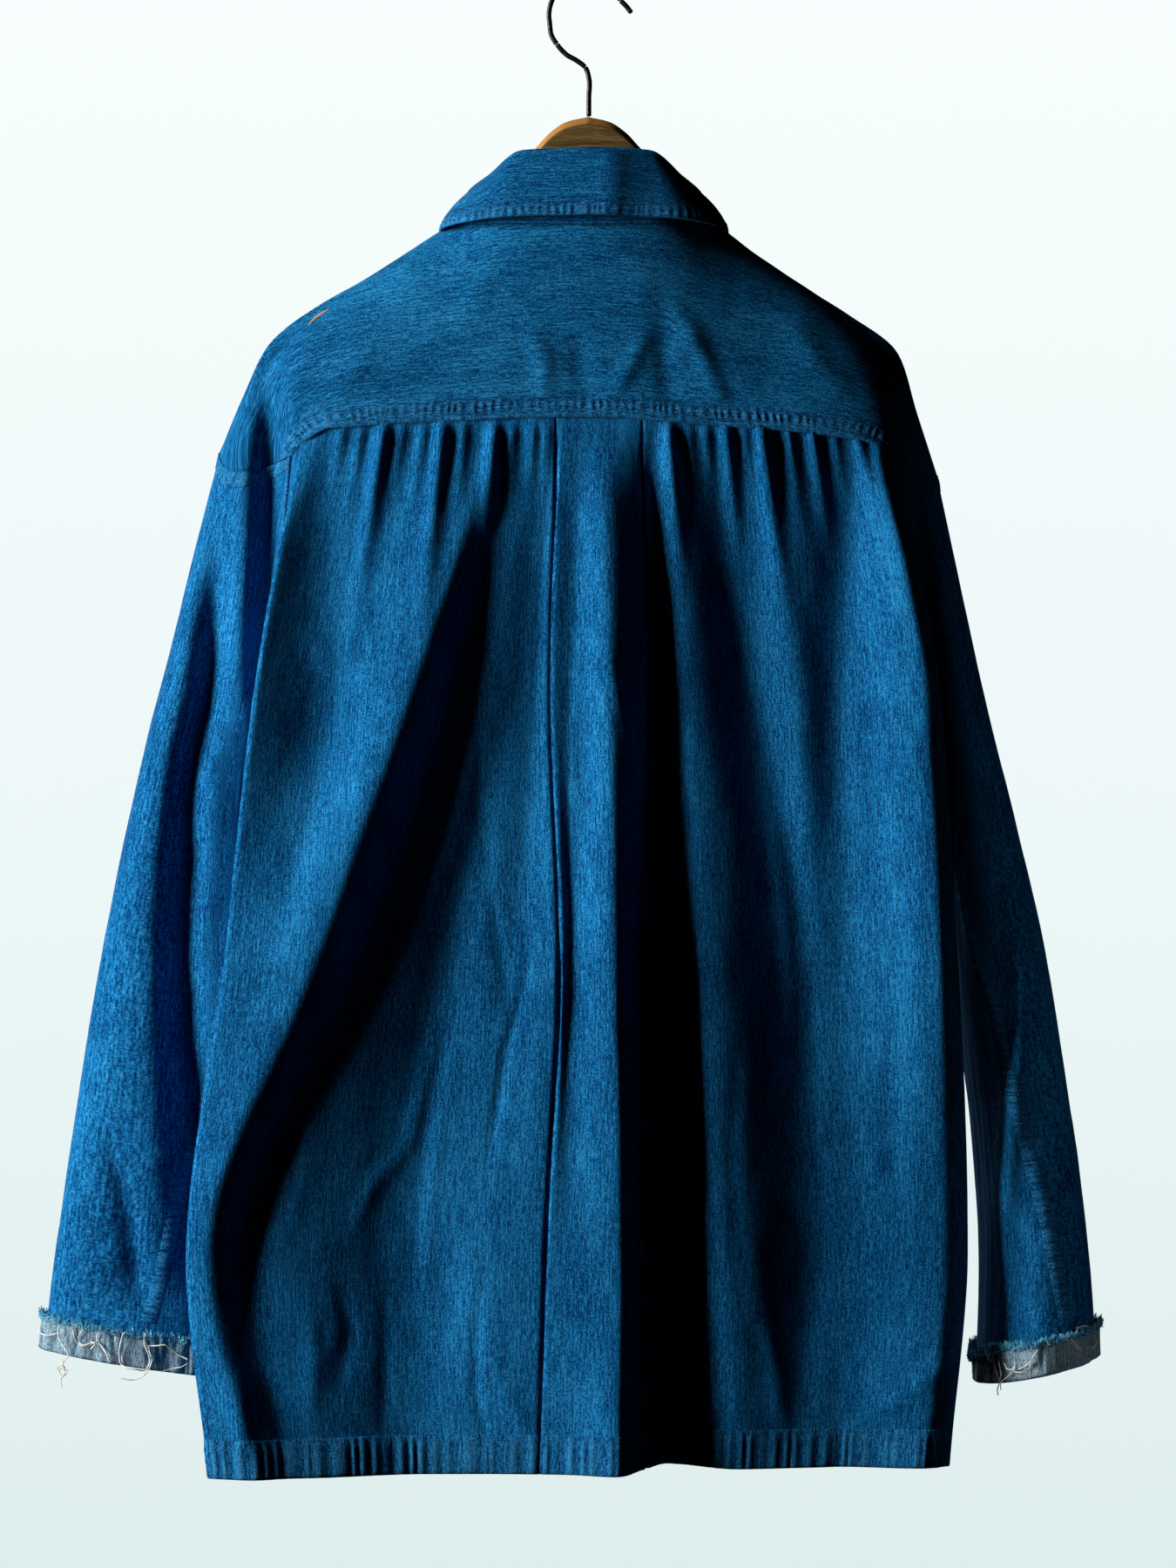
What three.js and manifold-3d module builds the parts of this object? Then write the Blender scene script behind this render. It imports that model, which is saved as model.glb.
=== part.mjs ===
// A denim shirt that hangs on a wooden hanger, in millimetres.
// The origin is the inside top of the hook. +X is the wearer's left, -Y the front and +Z up.
import * as THREE from 'three';
import { mergeVertices } from 'three/addons/utils/BufferGeometryUtils.js';
import Module from 'manifold-3d';

const wasm = await Module();
wasm.setup();

// Driving sizes
const CLOTH = 1.4;
const HEM_CLOTH = 2.4;
const COLLAR_CLOTH = 2;
const SEAM_GAP = 0.5;
const HEM_Z = -899;
const CORNER_Z = -290;
const TURN_UP_HEIGHT = 20;
const FRAY_HEIGHT = 3;
const PLACKET_WIDTH = 36;
const BUTTON_RADIUS = 7.5;
const BUTTON_COUNT = 6;
const BUTTON_TOP_DROP = 30;
const BUTTON_PITCH = 108;
const BUTTON_CLEARANCE = 0.7;
const WIRE_RADIUS = 1.6;
const WOOD_THICKNESS = 18;

// Colours and finishes
const FINISH = {
  denim: { color: 0x1c5580, roughness: 0.9 },
  yoke: { color: 0x1d5a80, roughness: 0.9 },
  reverse: { color: 0x6f8ea0, roughness: 0.95 },
  fray: { color: 0x8fb3bd, roughness: 1 },
  button: { color: 0x2a2f38, roughness: 0.4 },
  wood: { color: 0x6b4526, roughness: 0.6 },
  wire: { color: 0x24262a, roughness: 0.35, metalness: 0.9 },
};

// Heights at which the section tables below give their values
const HEIGHTS = [-275, -430, -600, -770, HEM_Z];

// The back's fold lines from the wearer's left to right: place across and depth at each of the HEIGHTS
const BACK_FOLDS = [
  { line: 'left edge', x: [172, 199, 217, 238, 224], y: [33, 48, 63, 70, 86] },
  { line: 'edge valley', x: [157, 157, 196, 233, 212], y: [30, 36, 67, 72, 90] },
  { line: 'big ridge', x: [56, 106, 166, 226, 198], y: [38, 53, 73, 74, 94] },
  { line: 'foot of big ridge', x: [42, 78, 136, 203, 178], y: [37.5, 32, 50, 58, 86] },
  { line: 'small ridge', x: [36, 60, 112, 178, 160], y: [37, 32, 46, 57, 83] },
  { line: 'streak valley', x: [32, 48, 86, 103, 96], y: [37, 30, 38, 40, 66] },
  { line: 'lower ridge', x: [28, 40, 62, 84, 84], y: [37.5, 28, 46, 44, 66] },
  { line: 'sharp crease', x: [23, 32, 46, 62, 64], y: [38, 27, 47, 50, 66] },
  { line: 'pleat left edge', x: [17, 22, 16, 24, 28], y: [40, 33, 55, 53, 68] },
  { line: 'inside the pleat', x: [6, 10, 12, 14, 12], y: [39, 31, 51, 54, 70] },
  { line: 'pleat crest', x: [-10, -13, -16, -19, -17], y: [43, 44, 64, 60, 80] },
  { line: 'pleat right edge', x: [-30, -35, -34, -34, -33], y: [39, 26, 36, 34, 46] },
  { line: 'deep valley', x: [-37, -42, -47, -50, -47], y: [34, 16, 22, 18, 20] },
  { line: 'second ridge', x: [-50, -61, -72, -83, -90], y: [37, 26, 40, 37, 46] },
  { line: 'second slope', x: [-76, -99, -133, -141, -126], y: [34, 12, 20, 18, 40] },
  { line: 'third ridge', x: [-120, -126, -142, -148, -138], y: [37, 21, 22, 18.5, 38] },
  { line: 'third valley', x: [-163, -151, -151, -156, -152], y: [29, 15, 23, 19, 35] },
  { line: 'broad ridge', x: [-175, -201, -211, -214, -200], y: [36, 43, 49, 28, 43] },
  { line: 'right edge', x: [-180, -211, -222, -229, -217], y: [28, 33, 37, 20, 32] },
];

// How far each side of the pleat tucks under its edge, and how deep the tuck is
const PLEAT = {
  left: { under: [8, 7, 3, 0.5, 0.5], drop: [5, 5, 4, 2, 2] },
  right: { under: [7, 4, 0.5, 0.5, 0.5], drop: [4, 4, 3, 3, 3] },
};

// The fronts' fold lines from the centre to the side, the same on both sides
const FRONT_FOLDS = [
  { line: 'centre', x: [6, 6, 6, 6, 6], y: [-44, -47, -51, -53, -55] },
  { line: 'beside the placket', x: [42, 44, 42, 42, 44], y: [-41, -43, -46, -46, -50] },
  { line: 'inner ridge', x: [78, 76, 74, 76, 80], y: [-38, -52, -58, -62, -66] },
  { line: 'valley', x: [112, 108, 102, 104, 108], y: [-37, -38, -42, -44, -44] },
  { line: 'outer ridge', x: [146, 138, 130, 134, 140], y: [-34, -46, -55, -59, -60] },
  { line: 'front edge', x: [168, 166, 153, 158, 163], y: [-30, -36, -44, -46, -44] },
];

const RIGHT_FRONT_WIDEN = 1.02;

// Gathers under the yoke: depth of each small wave and how far down it fades
const GATHER = { depth: 2.2, length: 150 };

// The side seam, with the armhole opening above the underarm
const SIDE_SEAM = {
  left: { x: [178, 190, 193, 204, 205], y: [0, -3, -8, -5, 4] },
  right: { x: [184, 193, 199, 206, 201], y: [0, -3, -8, -5, 2] },
};
const ARMHOLE_HALF_DEPTH = 25;
const UNDERARM_GAP = 2.2;
const ARMHOLE_SAG = 12;

// Levels down each panel, as shares of its height: above the underarm, below it, and the hem band
const UPPER_LEVELS = [0, 0.015, 0.05, 0.1, 0.155, 0.215, 0.275];
const UNDERARM_LEVEL = UPPER_LEVELS.length;
const LOWER_LEVELS = [
  0.34, 0.385, 0.43, 0.475, 0.52, 0.565, 0.61, 0.655, 0.7, 0.75, 0.8, 0.86, 0.92, 0.965,
];
const HEM_LEVEL = UNDERARM_LEVEL + LOWER_LEVELS.length;
const BODY_LEVELS = [...UPPER_LEVELS, ...LOWER_LEVELS, 0.97, 1];
const SLEEVE_LEVELS = [
  0, 0.03, 0.07, 0.12, 0.18, 0.25, 0.32, 0.4, 0.48, 0.56, 0.64, 0.72, 0.8, 0.87, 0.94, 1,
];

// Sleeve sections: outer and inner reach from the centre plane, middle depth and half depth
const SLEEVE_HEIGHTS = [-290, -430, -520, -600, -700, -780, -850];
const SLEEVES = {
  left: {
    outer: [224, 260, 282, 299, 316, 328, 336],
    inner: [150, 192, 204, 203, 207, 211, 214],
    middle: [-3, -8, -15, -27, -36, -40, -42],
    halfDepth: [28, 33, 36, 36, 33, 30, 28],
    cuffOuterZ: -835,
    cuffInnerZ: -853,
  },
  right: {
    outer: [212, 240, 263, 281, 297, 307, 311],
    inner: [150, 210, 218, 223, 236, 241, 239],
    middle: [-3, -12, -20, -26, -28, -27, -25],
    halfDepth: [28, 33, 40, 46, 47, 47, 47],
    cuffOuterZ: -837,
    cuffInnerZ: -853,
  },
};

// Shoulder line and front yoke seam, from the armhole to the neck
const SHOULDERS = {
  left: [
    { ridge: [224, -3, -287], front: [178, -25, CORNER_Z] },
    { ridge: [209, -2, -252], front: [173, -31, -277] },
    { ridge: [194, 0, -222], front: [163, -33, -263] },
    { ridge: [165, 0, -199], front: [143, -33, -243] },
    { ridge: [137, 0, -183], front: [121, -33, -226] },
    { ridge: [108, 0, -165], front: [98, -32, -204] },
  ],
  right: [
    { ridge: [212, -3, -301], front: [184, -25, CORNER_Z] },
    { ridge: [200, -2, -264], front: [178, -31, -280] },
    { ridge: [188, 0, -227], front: [165, -33, -267] },
    { ridge: [160, 0, -205], front: [140, -33, -246] },
    { ridge: [132, 0, -187], front: [117, -33, -228] },
    { ridge: [104, 0, -168], front: [93, -32, -205] },
  ],
};

// Back yoke seam: place across, depth and height
const YOKE_SEAM = [
  { x: 178, y: 25, z: CORNER_Z },
  { x: 170, y: 30, z: -280 },
  { x: 155, y: 33, z: -274 },
  { x: 100, y: 36, z: -270 },
  { x: 0, y: 38, z: -267 },
  { x: -77, y: 36, z: -272 },
  { x: -155, y: 32, z: -279 },
  { x: -176, y: 29, z: -284 },
  { x: -184, y: 25, z: CORNER_Z },
];

// The collar from the centre back (0) to the centre front (1): neck seam, fold and lower edge of the leaf
const COLLAR = [
  { at: 0, neck: [0, 36, -151], fold: [0, 23, -103], edge: [0, 42, -144] },
  { at: 0.2, neck: [42, 33, -150], fold: [38, 19, -104], edge: [46, 40, -146] },
  { at: 0.34, neck: [66, 21, -149], fold: [57, 9, -119], edge: [76, 29, -149] },
  { at: 0.45, neck: [80, 0, -148], fold: [72, -8, -132], edge: [93, 4, -151] },
  { at: 0.65, neck: [74, -28, -178], fold: [68, -31, -157], edge: [94, -38, -180] },
  { at: 0.85, neck: [44, -41, -204], fold: [42, -47, -184], edge: [78, -55, -222] },
  { at: 1, neck: [6, -45, -216], fold: [8, -52, -197], edge: [52, -62, -246] },
];
const COLLAR_RIGHT = 0.94;
const SHOULDER_AT = 0.45;
const FRONT_SEAM_AT = 0.65;

// Tucks, and one long swell of negative depth, on the side that faces the back
const TUCKS = [
  {
    nodes: ['yoke', 'sleeve_left'],
    x: [193, 193, 198, 203],
    z: [-226, -300, -380, -450],
    half: 9,
    depth: 15,
  },
  {
    nodes: ['yoke', 'sleeve_right'],
    x: [-190, -196, -203, -208],
    z: [-236, -300, -380, -450],
    half: 8,
    depth: 13,
  },
  {
    nodes: ['sleeve_left'],
    x: [221, 229, 243, 248, 244, 240],
    z: [-305, -420, -500, -600, -700, -808],
    half: 11,
    depth: 20,
  },
  {
    nodes: ['sleeve_left'],
    x: [197, 200, 206, 212, 214],
    z: [-320, -420, -540, -640, -740],
    half: 12,
    depth: -11,
  },
  { nodes: ['sleeve_left'], x: [292, 282, 276, 273], z: [-700, -745, -790, -812], half: 7, depth: 5 },
  {
    nodes: ['sleeve_right'],
    x: [-262, -262, -254, -250, -250],
    z: [-520, -620, -700, -750, -806],
    half: 8,
    depth: -8,
  },
];
const YOKE_MIDDLE = -3;
const FACING_DEPTH = 12;

// Thread ends of a frayed edge: short ones stand up and every fifth hangs down, each by its own amount
const STRANDS = {
  count: 30,
  longEvery: 5,
  radius: 0.55,
  lean: 2,
  rise: 3,
  riseVaries: 1.5,
  drop: 12,
  dropVaries: 6,
};

// The hanger's crest and neck, from the middle outward, and the height of the wood along each arm
const CREST = [[0, -83], [13, -86], [23, -92.5], [31, -101], [44, -115], [58, -133], [73, -152.5]];
const WOOD_HEIGHT = { at: [0, 30, 80, 140, 182, 200], height: [58, 45, 30, 26, 21, 9] };
const WOOD_UNDER_SHOULDER = 2.3;
const WOOD_TOP_FLAT = 4;
const WOOD_CHAMFER = 4.8;

// The hook's shank and bend in x and z, its arc over the origin and its flared tip
const HOOK_SHANK = [[-0.5, -82.65], [-0.5, -72], [-0.5, -59], [1.5, -53], [7, -48.5], [13, -45]];
const HOOK_BEND = [[18.5, -39.2], [22.3, -32.9]];
const HOOK_ARC = { x: 1, z: -21.2, innerRadius: 21.2, from: -12, to: 156, step: 14 };
const HOOK_TIP = [[-23, -15.2], [-26.5, -19.6]];

// Smooth value at a place between stations, never past its neighbours
function through(stations, values, place) {
  const last = stations.length - 1;
  const ahead = Math.sign(stations[last] - stations[0]);
  const at = ahead * Math.min(Math.max(ahead * place, ahead * stations[0]), ahead * stations[last]);
  let k = 0;
  while (k < last - 1 && (at - stations[k + 1]) * ahead > 0) k += 1;
  const rise = (i) => (values[i + 1] - values[i]) / (stations[i + 1] - stations[i]);
  const slope = (i) => {
    if (i === 0) return rise(0);
    if (i === last) return rise(last - 1);
    const before = rise(i - 1);
    const after = rise(i);
    return before * after > 0 ? (2 * before * after) / (before + after) : 0;
  };
  const span = stations[k + 1] - stations[k];
  const t = (at - stations[k]) / span;
  const t2 = t * t;
  const t3 = t2 * t;
  return (
    values[k] * (2 * t3 - 3 * t2 + 1) +
    values[k + 1] * (3 * t2 - 2 * t3) +
    slope(k) * span * (t3 - 2 * t2 + t) +
    slope(k + 1) * span * (t3 - t2)
  );
}

const mix = (a, b, t) => a + (b - a) * t;
const fadeOut = (t) => (t >= 1 ? 0 : 1 - t * t * (3 - 2 * t));
const vector = (list) => new THREE.Vector3(...list);
const sideSign = (side) => (side === 'left' ? 1 : -1);

// A point on the collar's neck seam, fold or leaf edge, from 1 at the left front to -1 at the right front
function collarPoint(curve, q) {
  const stations = COLLAR.map((row) => row.at);
  const [x, y, z] = [0, 1, 2].map((axis) => {
    return through(stations, COLLAR.map((row) => row[curve][axis]), Math.abs(q));
  });
  return new THREE.Vector3(q < 0 ? -x * COLLAR_RIGHT : x, y, z);
}

// The seam at the side of the body. The armhole opens it to the back (+1) and the front (-1).
function sideSeam(side, z, facing) {
  const row = SIDE_SEAM[side];
  const underarmZ = mix(CORNER_Z, HEM_Z, BODY_LEVELS[UNDERARM_LEVEL]);
  const down = Math.min(Math.max((CORNER_Z - z) / (CORNER_Z - underarmZ), 0), 1);
  const open = ARMHOLE_HALF_DEPTH * (1 - down * down);
  return new THREE.Vector3(
    sideSign(side) * through(HEIGHTS, row.x, z),
    through(HEIGHTS, row.y, z) + facing * open,
    z,
  );
}

// Columns across the back: its zone and the share of the way through that zone
const BACK_FIELD_STEPS = 20;
const STRIP_STEPS = 7;
function backColumns() {
  const columns = [['seam left', 0], ['return left', 0], ['field left', 0]];
  for (let k = 1; k < BACK_FIELD_STEPS; k += 1) columns.push(['field left', k / BACK_FIELD_STEPS]);
  columns.push(['beside pleat left', 0], ['under pleat left', 0], ['strip', 0]);
  for (let k = 1; k < STRIP_STEPS; k += 1) columns.push(['strip', k / STRIP_STEPS]);
  columns.push(['strip', 1], ['under pleat right', 0], ['beside pleat right', 0]);
  for (let k = 1; k < BACK_FIELD_STEPS; k += 1) columns.push(['field right', k / BACK_FIELD_STEPS]);
  columns.push(['field right', 1], ['return right', 0], ['seam right', 0]);
  return columns.map(([zone, share], index) => ({ zone, share, index }));
}
const BACK_COLUMNS = backColumns();

// A point of the back at a height: on the fold lines, with the pleat's overlap and the gathers
function backPoint(column, z) {
  const xs = BACK_FOLDS.map((row) => through(HEIGHTS, row.x, z));
  const ys = BACK_FOLDS.map((row) => through(HEIGHTS, row.y, z));
  const place = (line) => xs[BACK_FOLDS.findIndex((row) => row.line === line)];
  const depth = (x) => through(xs, ys, x);
  const edges = { left: place('left edge'), right: place('right edge') };
  const pleat = { left: place('pleat left edge'), right: place('pleat right edge') };
  const side = column.zone.endsWith('left') ? 'left' : 'right';
  const seam = sideSeam(side, z, 1);
  const outward = sideSign(side);
  const tuck = PLEAT[side];
  const under = through(HEIGHTS, tuck.under, z);
  const drop = through(HEIGHTS, tuck.drop, z);
  const wave = GATHER.depth * (column.index % 2 ? 1 : -1) * fadeOut((YOKE_SEAM[4].z - z) / GATHER.length);
  if (column.zone.startsWith('seam')) return seam;
  if (column.zone.startsWith('return')) {
    return new THREE.Vector3(mix(seam.x, edges[side], 0.2), mix(seam.y, depth(edges[side]), 0.5), z);
  }
  if (column.zone.startsWith('beside')) {
    const x = pleat[side] + outward * 1.5;
    return new THREE.Vector3(x, depth(x) - drop, z);
  }
  if (column.zone.startsWith('under')) {
    return new THREE.Vector3(pleat[side] - outward * under, depth(pleat[side]) - drop + 0.6, z);
  }
  const [from, to] = {
    'field left': [edges.left, pleat.left],
    strip: [pleat.left, pleat.right],
    'field right': [pleat.right, edges.right],
  }[column.zone];
  const x = mix(from, to, column.share);
  const inField = column.zone !== 'strip' && column.share > 0 && column.share < 1;
  return new THREE.Vector3(x, depth(x) + (inField ? wave : 0), z);
}

// A point of a front at a height, with half steps between the fold lines
function frontPoint(side, step, z) {
  const seam = sideSeam(side, z, -1);
  const sign = sideSign(side);
  const lines = FRONT_FOLDS.map((_, i) => i).concat(FRONT_FOLDS.length);
  const widen = side === 'left' ? 1 : RIGHT_FRONT_WIDEN;
  const xs = FRONT_FOLDS.map((row) => sign * widen * through(HEIGHTS, row.x, z)).concat(seam.x);
  const ys = FRONT_FOLDS.map((row) => through(HEIGHTS, row.y, z)).concat(seam.y);
  return new THREE.Vector3(through(lines, xs, step), through(lines, ys, step), z);
}

// Rows of points that hang from a top edge and settle into a form within a share of their height
function hang(top, form, bottomZ, levels, settle) {
  return levels.map((level) =>
    top.map((start, i) => {
      const z = mix(start.z, bottomZ(i), level);
      const offset = start.clone().sub(form(i, start.z));
      const point = form(i, z).addScaledVector(offset, fadeOut(level / settle));
      point.z = z;
      return point;
    }),
  );
}

// The yoke's columns follow every second column of the back, and three within the pleat's strip
const YOKE_STRIP_SHARES = [1, 3, 6].map((k) => k / STRIP_STEPS);
const YOKE_COLUMNS = BACK_COLUMNS.filter(({ zone, share, index }) => {
  if (zone === 'strip') return YOKE_STRIP_SHARES.includes(share);
  return Math.min(index, BACK_COLUMNS.length - 1 - index) % 2 === 0;
});
const SHOULDER_STEPS = SHOULDERS.left.length;
const FRONT_ROWS = 4;
const BACK_ROWS = 7;

function seamAt(x) {
  const xs = YOKE_SEAM.map((row) => row.x);
  return new THREE.Vector3(
    x,
    through(xs, YOKE_SEAM.map((row) => row.y), x),
    through(xs, YOKE_SEAM.map((row) => row.z), x),
  );
}

// Top row places of the back, spread along the seam so that no two are less than a millimetre apart
const TOP_RETURN_X = { left: 174, right: -182 };
const TOP_FROM_PLEAT = { beside: 3, under: 1.5 };

function backTopX(column) {
  const kind = column.zone.split(' ')[0];
  const side = column.zone.endsWith('left') ? 'left' : 'right';
  if (kind === 'return') return TOP_RETURN_X[side];
  if (!(kind in TOP_FROM_PLEAT)) return backPoint(column, HEIGHTS[0]).x;
  const pleat = BACK_FOLDS.find((row) => row.line === `pleat ${side} edge`);
  return pleat.x[0] + sideSign(side) * TOP_FROM_PLEAT[kind];
}

function yokeRows() {
  const count = YOKE_COLUMNS.length;
  const rows = Array.from({ length: FRONT_ROWS + BACK_ROWS + 1 }, () => []);
  YOKE_COLUMNS.forEach((column, c) => {
    const side = c < count / 2 ? 'left' : 'right';
    const fromSide = Math.min(c, count - 1 - c);
    const onShoulder = fromSide < SHOULDER_STEPS;
    const q = SHOULDER_AT * (1 - (2 * (c - SHOULDER_STEPS)) / (count - 1 - 2 * SHOULDER_STEPS));
    const table = SHOULDERS[side][fromSide];
    const mirror = new THREE.Vector3(sideSign(side), 1, 1);
    const ridge = onShoulder ? vector(table.ridge).multiply(mirror) : collarPoint('neck', q);
    const front = onShoulder ? vector(table.front).multiply(mirror) : null;
    const back = seamAt(backTopX(column));
    const sag = fromSide === 0 ? ARMHOLE_SAG : fromSide === 1 ? ARMHOLE_SAG / 3 : 0;
    rows.forEach((row, r) => {
      const facing = r < FRONT_ROWS ? -1 : 1;
      const end = facing < 0 ? front : back;
      const steps = facing < 0 ? FRONT_ROWS : BACK_ROWS;
      const turn = (Math.abs(r - FRONT_ROWS) / steps) * (Math.PI / 2);
      if (!end) {
        const share = Math.abs(r - FRONT_ROWS) / FRONT_ROWS;
        const cornerQ = mix(SHOULDER_AT, FRONT_SEAM_AT, share) * sideSign(side);
        row.push(collarPoint('neck', cornerQ));
        return;
      }
      row.push(
        new THREE.Vector3(
          mix(end.x, ridge.x, Math.cos(turn)),
          mix(ridge.y, end.y, Math.sin(turn)),
          mix(end.z, ridge.z, Math.cos(turn)) - sag * Math.sin(2 * turn),
        ),
      );
    });
  });
  return rows;
}

// Cells of the yoke that are cloth: all but those in front of the neck
function yokeHasCell(r, c) {
  const cells = YOKE_COLUMNS.length - 1;
  return r >= FRONT_ROWS || Math.min(c, cells - 1 - c) < SHOULDER_STEPS;
}

// A point of a polyline at a place across
function onPolyline(points, x) {
  const k = Math.max(points.findIndex((point, i) => i > 0 && point.x <= x + 1e-9), 1);
  const share = (x - points[k - 1].x) / (points[k].x - points[k - 1].x);
  return points[k - 1].clone().lerp(points[k], share);
}

function backRows(yoke) {
  const seam = yoke[yoke.length - 1];
  const top = BACK_COLUMNS.map((column) => onPolyline(seam, backTopX(column)));
  return hang(top, (i, z) => backPoint(BACK_COLUMNS[i], z), () => HEM_Z, BODY_LEVELS, 0.12);
}

// Front rows run from the centre to the side on the left, and from the side to the centre on the right
function frontRows(side, yoke) {
  const sign = sideSign(side);
  const count = YOKE_COLUMNS.length;
  const top = [];
  for (let k = 0; k < FRONT_ROWS; k += 1) {
    top.push(collarPoint('neck', sign * mix(1, FRONT_SEAM_AT, k / FRONT_ROWS)));
  }
  for (let c = SHOULDER_STEPS; c >= 0; c -= 1) {
    top.push(yoke[0][side === 'left' ? c : count - 1 - c].clone());
  }
  const steps = FRONT_FOLDS.length / (top.length - 1);
  const rows = hang(top, (i, z) => frontPoint(side, i * steps, z), () => HEM_Z, BODY_LEVELS, 0.2);
  return side === 'left' ? rows : rows.map((row) => row.reverse());
}

// The armhole ring of a sleeve: over the shoulder to the back, down to the underarm and up the front
function armholeRing(side, yoke, back, front) {
  const isLeft = side === 'left';
  const yokeEdge = yoke.map((row) => row[isLeft ? 0 : row.length - 1]);
  const backEdge = back.map((row) => row[isLeft ? 0 : row.length - 1]);
  const frontEdge = front.map((row) => row[isLeft ? row.length - 1 : 0]);
  const underarm = backEdge[UNDERARM_LEVEL].clone();
  underarm.x += sideSign(side) * UNDERARM_GAP;
  const overBack = yokeEdge.slice(FRONT_ROWS, -1);
  const downBack = backEdge.slice(0, UNDERARM_LEVEL);
  const upFront = frontEdge.slice(0, UNDERARM_LEVEL).reverse();
  const overFront = yokeEdge.slice(1, FRONT_ROWS);
  const ring = [...overBack, ...downBack, underarm, ...upFront, ...overFront];
  const angles = ring.map((_, i) => {
    const underarm = overBack.length + UNDERARM_LEVEL;
    const marks = [0, overBack.length, underarm, ring.length - FRONT_ROWS, ring.length];
    return (Math.PI / 180) * through(marks, [0, 125, 180, 235, 360], i);
  });
  return { ring, angles };
}

function sleevePoint(side, angle, z) {
  const row = SLEEVES[side];
  const value = (name) => through(SLEEVE_HEIGHTS, row[name], z);
  const middleX = (value('outer') + value('inner')) / 2;
  const halfWidth = (value('outer') - value('inner')) / 2;
  return new THREE.Vector3(
    sideSign(side) * (middleX + halfWidth * Math.cos(angle)),
    value('middle') + value('halfDepth') * Math.sin(angle),
    z,
  );
}

function sleeveRows(side, { ring, angles }, levels) {
  const { cuffOuterZ, cuffInnerZ } = SLEEVES[side];
  const bottom = (i) => mix(cuffOuterZ, cuffInnerZ, (1 - Math.cos(angles[i])) / 2);
  const rows = hang(ring, (i, z) => sleevePoint(side, angles[i], z), bottom, levels, 0.22);
  return side === 'left' ? rows : rows.map((row) => row.reverse());
}

// Presses the tucks of a node into its rows, on the side that faces the back
function pressTucks(name, rows) {
  const mine = TUCKS.filter((tuck) => tuck.nodes.includes(name));
  const sleeve = SLEEVES[name.split('_').pop()];
  return rows.map((row) =>
    row.map((point) => {
      const moved = point.clone();
      const middle = sleeve ? through(SLEEVE_HEIGHTS, sleeve.middle, point.z) : YOKE_MIDDLE;
      const facing = 1 - fadeOut(Math.max((point.y - middle) / FACING_DEPTH, 0));
      mine.forEach(({ x, z, half, depth }) => {
        const down = (z[0] - point.z) / (z[0] - z[z.length - 1]);
        if (down <= 0 || down >= 1) return;
        const across = (point.x - through(z, x, point.z)) / half;
        const strength = Math.min(1, Math.sin(Math.PI * down) * 1.6);
        moved.y -= depth * Math.exp(-across * across) * strength * facing;
      });
      return moved;
    }),
  );
}

// Collects the pieces of cloth, so that pieces that meet at a seam share their seam's direction
const normals = new Map();
const cloths = [];
const keyOf = (point) => point.toArray().map((value) => value.toFixed(2)).join();

function addCloth(name, rows, finish, options = {}) {
  const { around = false, hasCell = () => true, wall = () => CLOTH, weld = true } = options;
  const columns = rows[0].length;
  const own = weld ? normals : new Map();
  const cells = [];
  for (let r = 0; r + 1 < rows.length; r += 1) {
    for (let c = 0; c < (around ? columns : columns - 1); c += 1) {
      if (!hasCell(r, c)) continue;
      const next = (c + 1) % columns;
      const corners = [rows[r][c], rows[r][next], rows[r + 1][next], rows[r + 1][c]];
      const across = corners[1].clone().sub(corners[3]);
      const down = corners[2].clone().sub(corners[0]);
      const normal = down.cross(across).normalize();
      corners.forEach((corner) => {
        const key = keyOf(corner);
        own.set(key, (own.get(key) ?? new THREE.Vector3()).add(normal));
      });
      cells.push([r * columns + c, r * columns + next, (r + 1) * columns + next, (r + 1) * columns + c]);
    }
  }
  cloths.push({ name, points: rows.flat(), columns, cells, finish, wall, normals: own });
}

// How far a border point is drawn in, so that half of the seam's gap lies on each side
function drawnIn(points, cells) {
  const uses = new Map();
  const edgeKey = (a, b) => `${a}_${b}`;
  cells.forEach((cell) => cell.forEach((a, k) => uses.set(edgeKey(a, cell[(k + 1) % 4]), cell)));
  const pulls = new Map();
  const border = [];
  uses.forEach((cell, key) => {
    const [a, b] = key.split('_').map(Number);
    if (uses.has(edgeKey(b, a))) return;
    border.push([a, b]);
    const along = points[b].clone().sub(points[a]).normalize();
    const centre = new THREE.Vector3();
    cell.forEach((i) => centre.addScaledVector(points[i], 1 / 4));
    const inward = centre.sub(points[a]);
    inward.addScaledVector(along, -inward.dot(along)).normalize();
    [a, b].forEach((i) => pulls.set(i, [...(pulls.get(i) ?? []), inward]));
  });
  const moves = new Map();
  pulls.forEach((list, i) => {
    const sum = new THREE.Vector3();
    list.forEach((pull) => sum.add(pull));
    const spread = list.length > 1 ? 1 + Math.max(list[0].dot(list[1]), -0.5) : 1;
    moves.set(i, sum.multiplyScalar(SEAM_GAP / 2 / spread));
  });
  return { moves, border };
}

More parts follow.
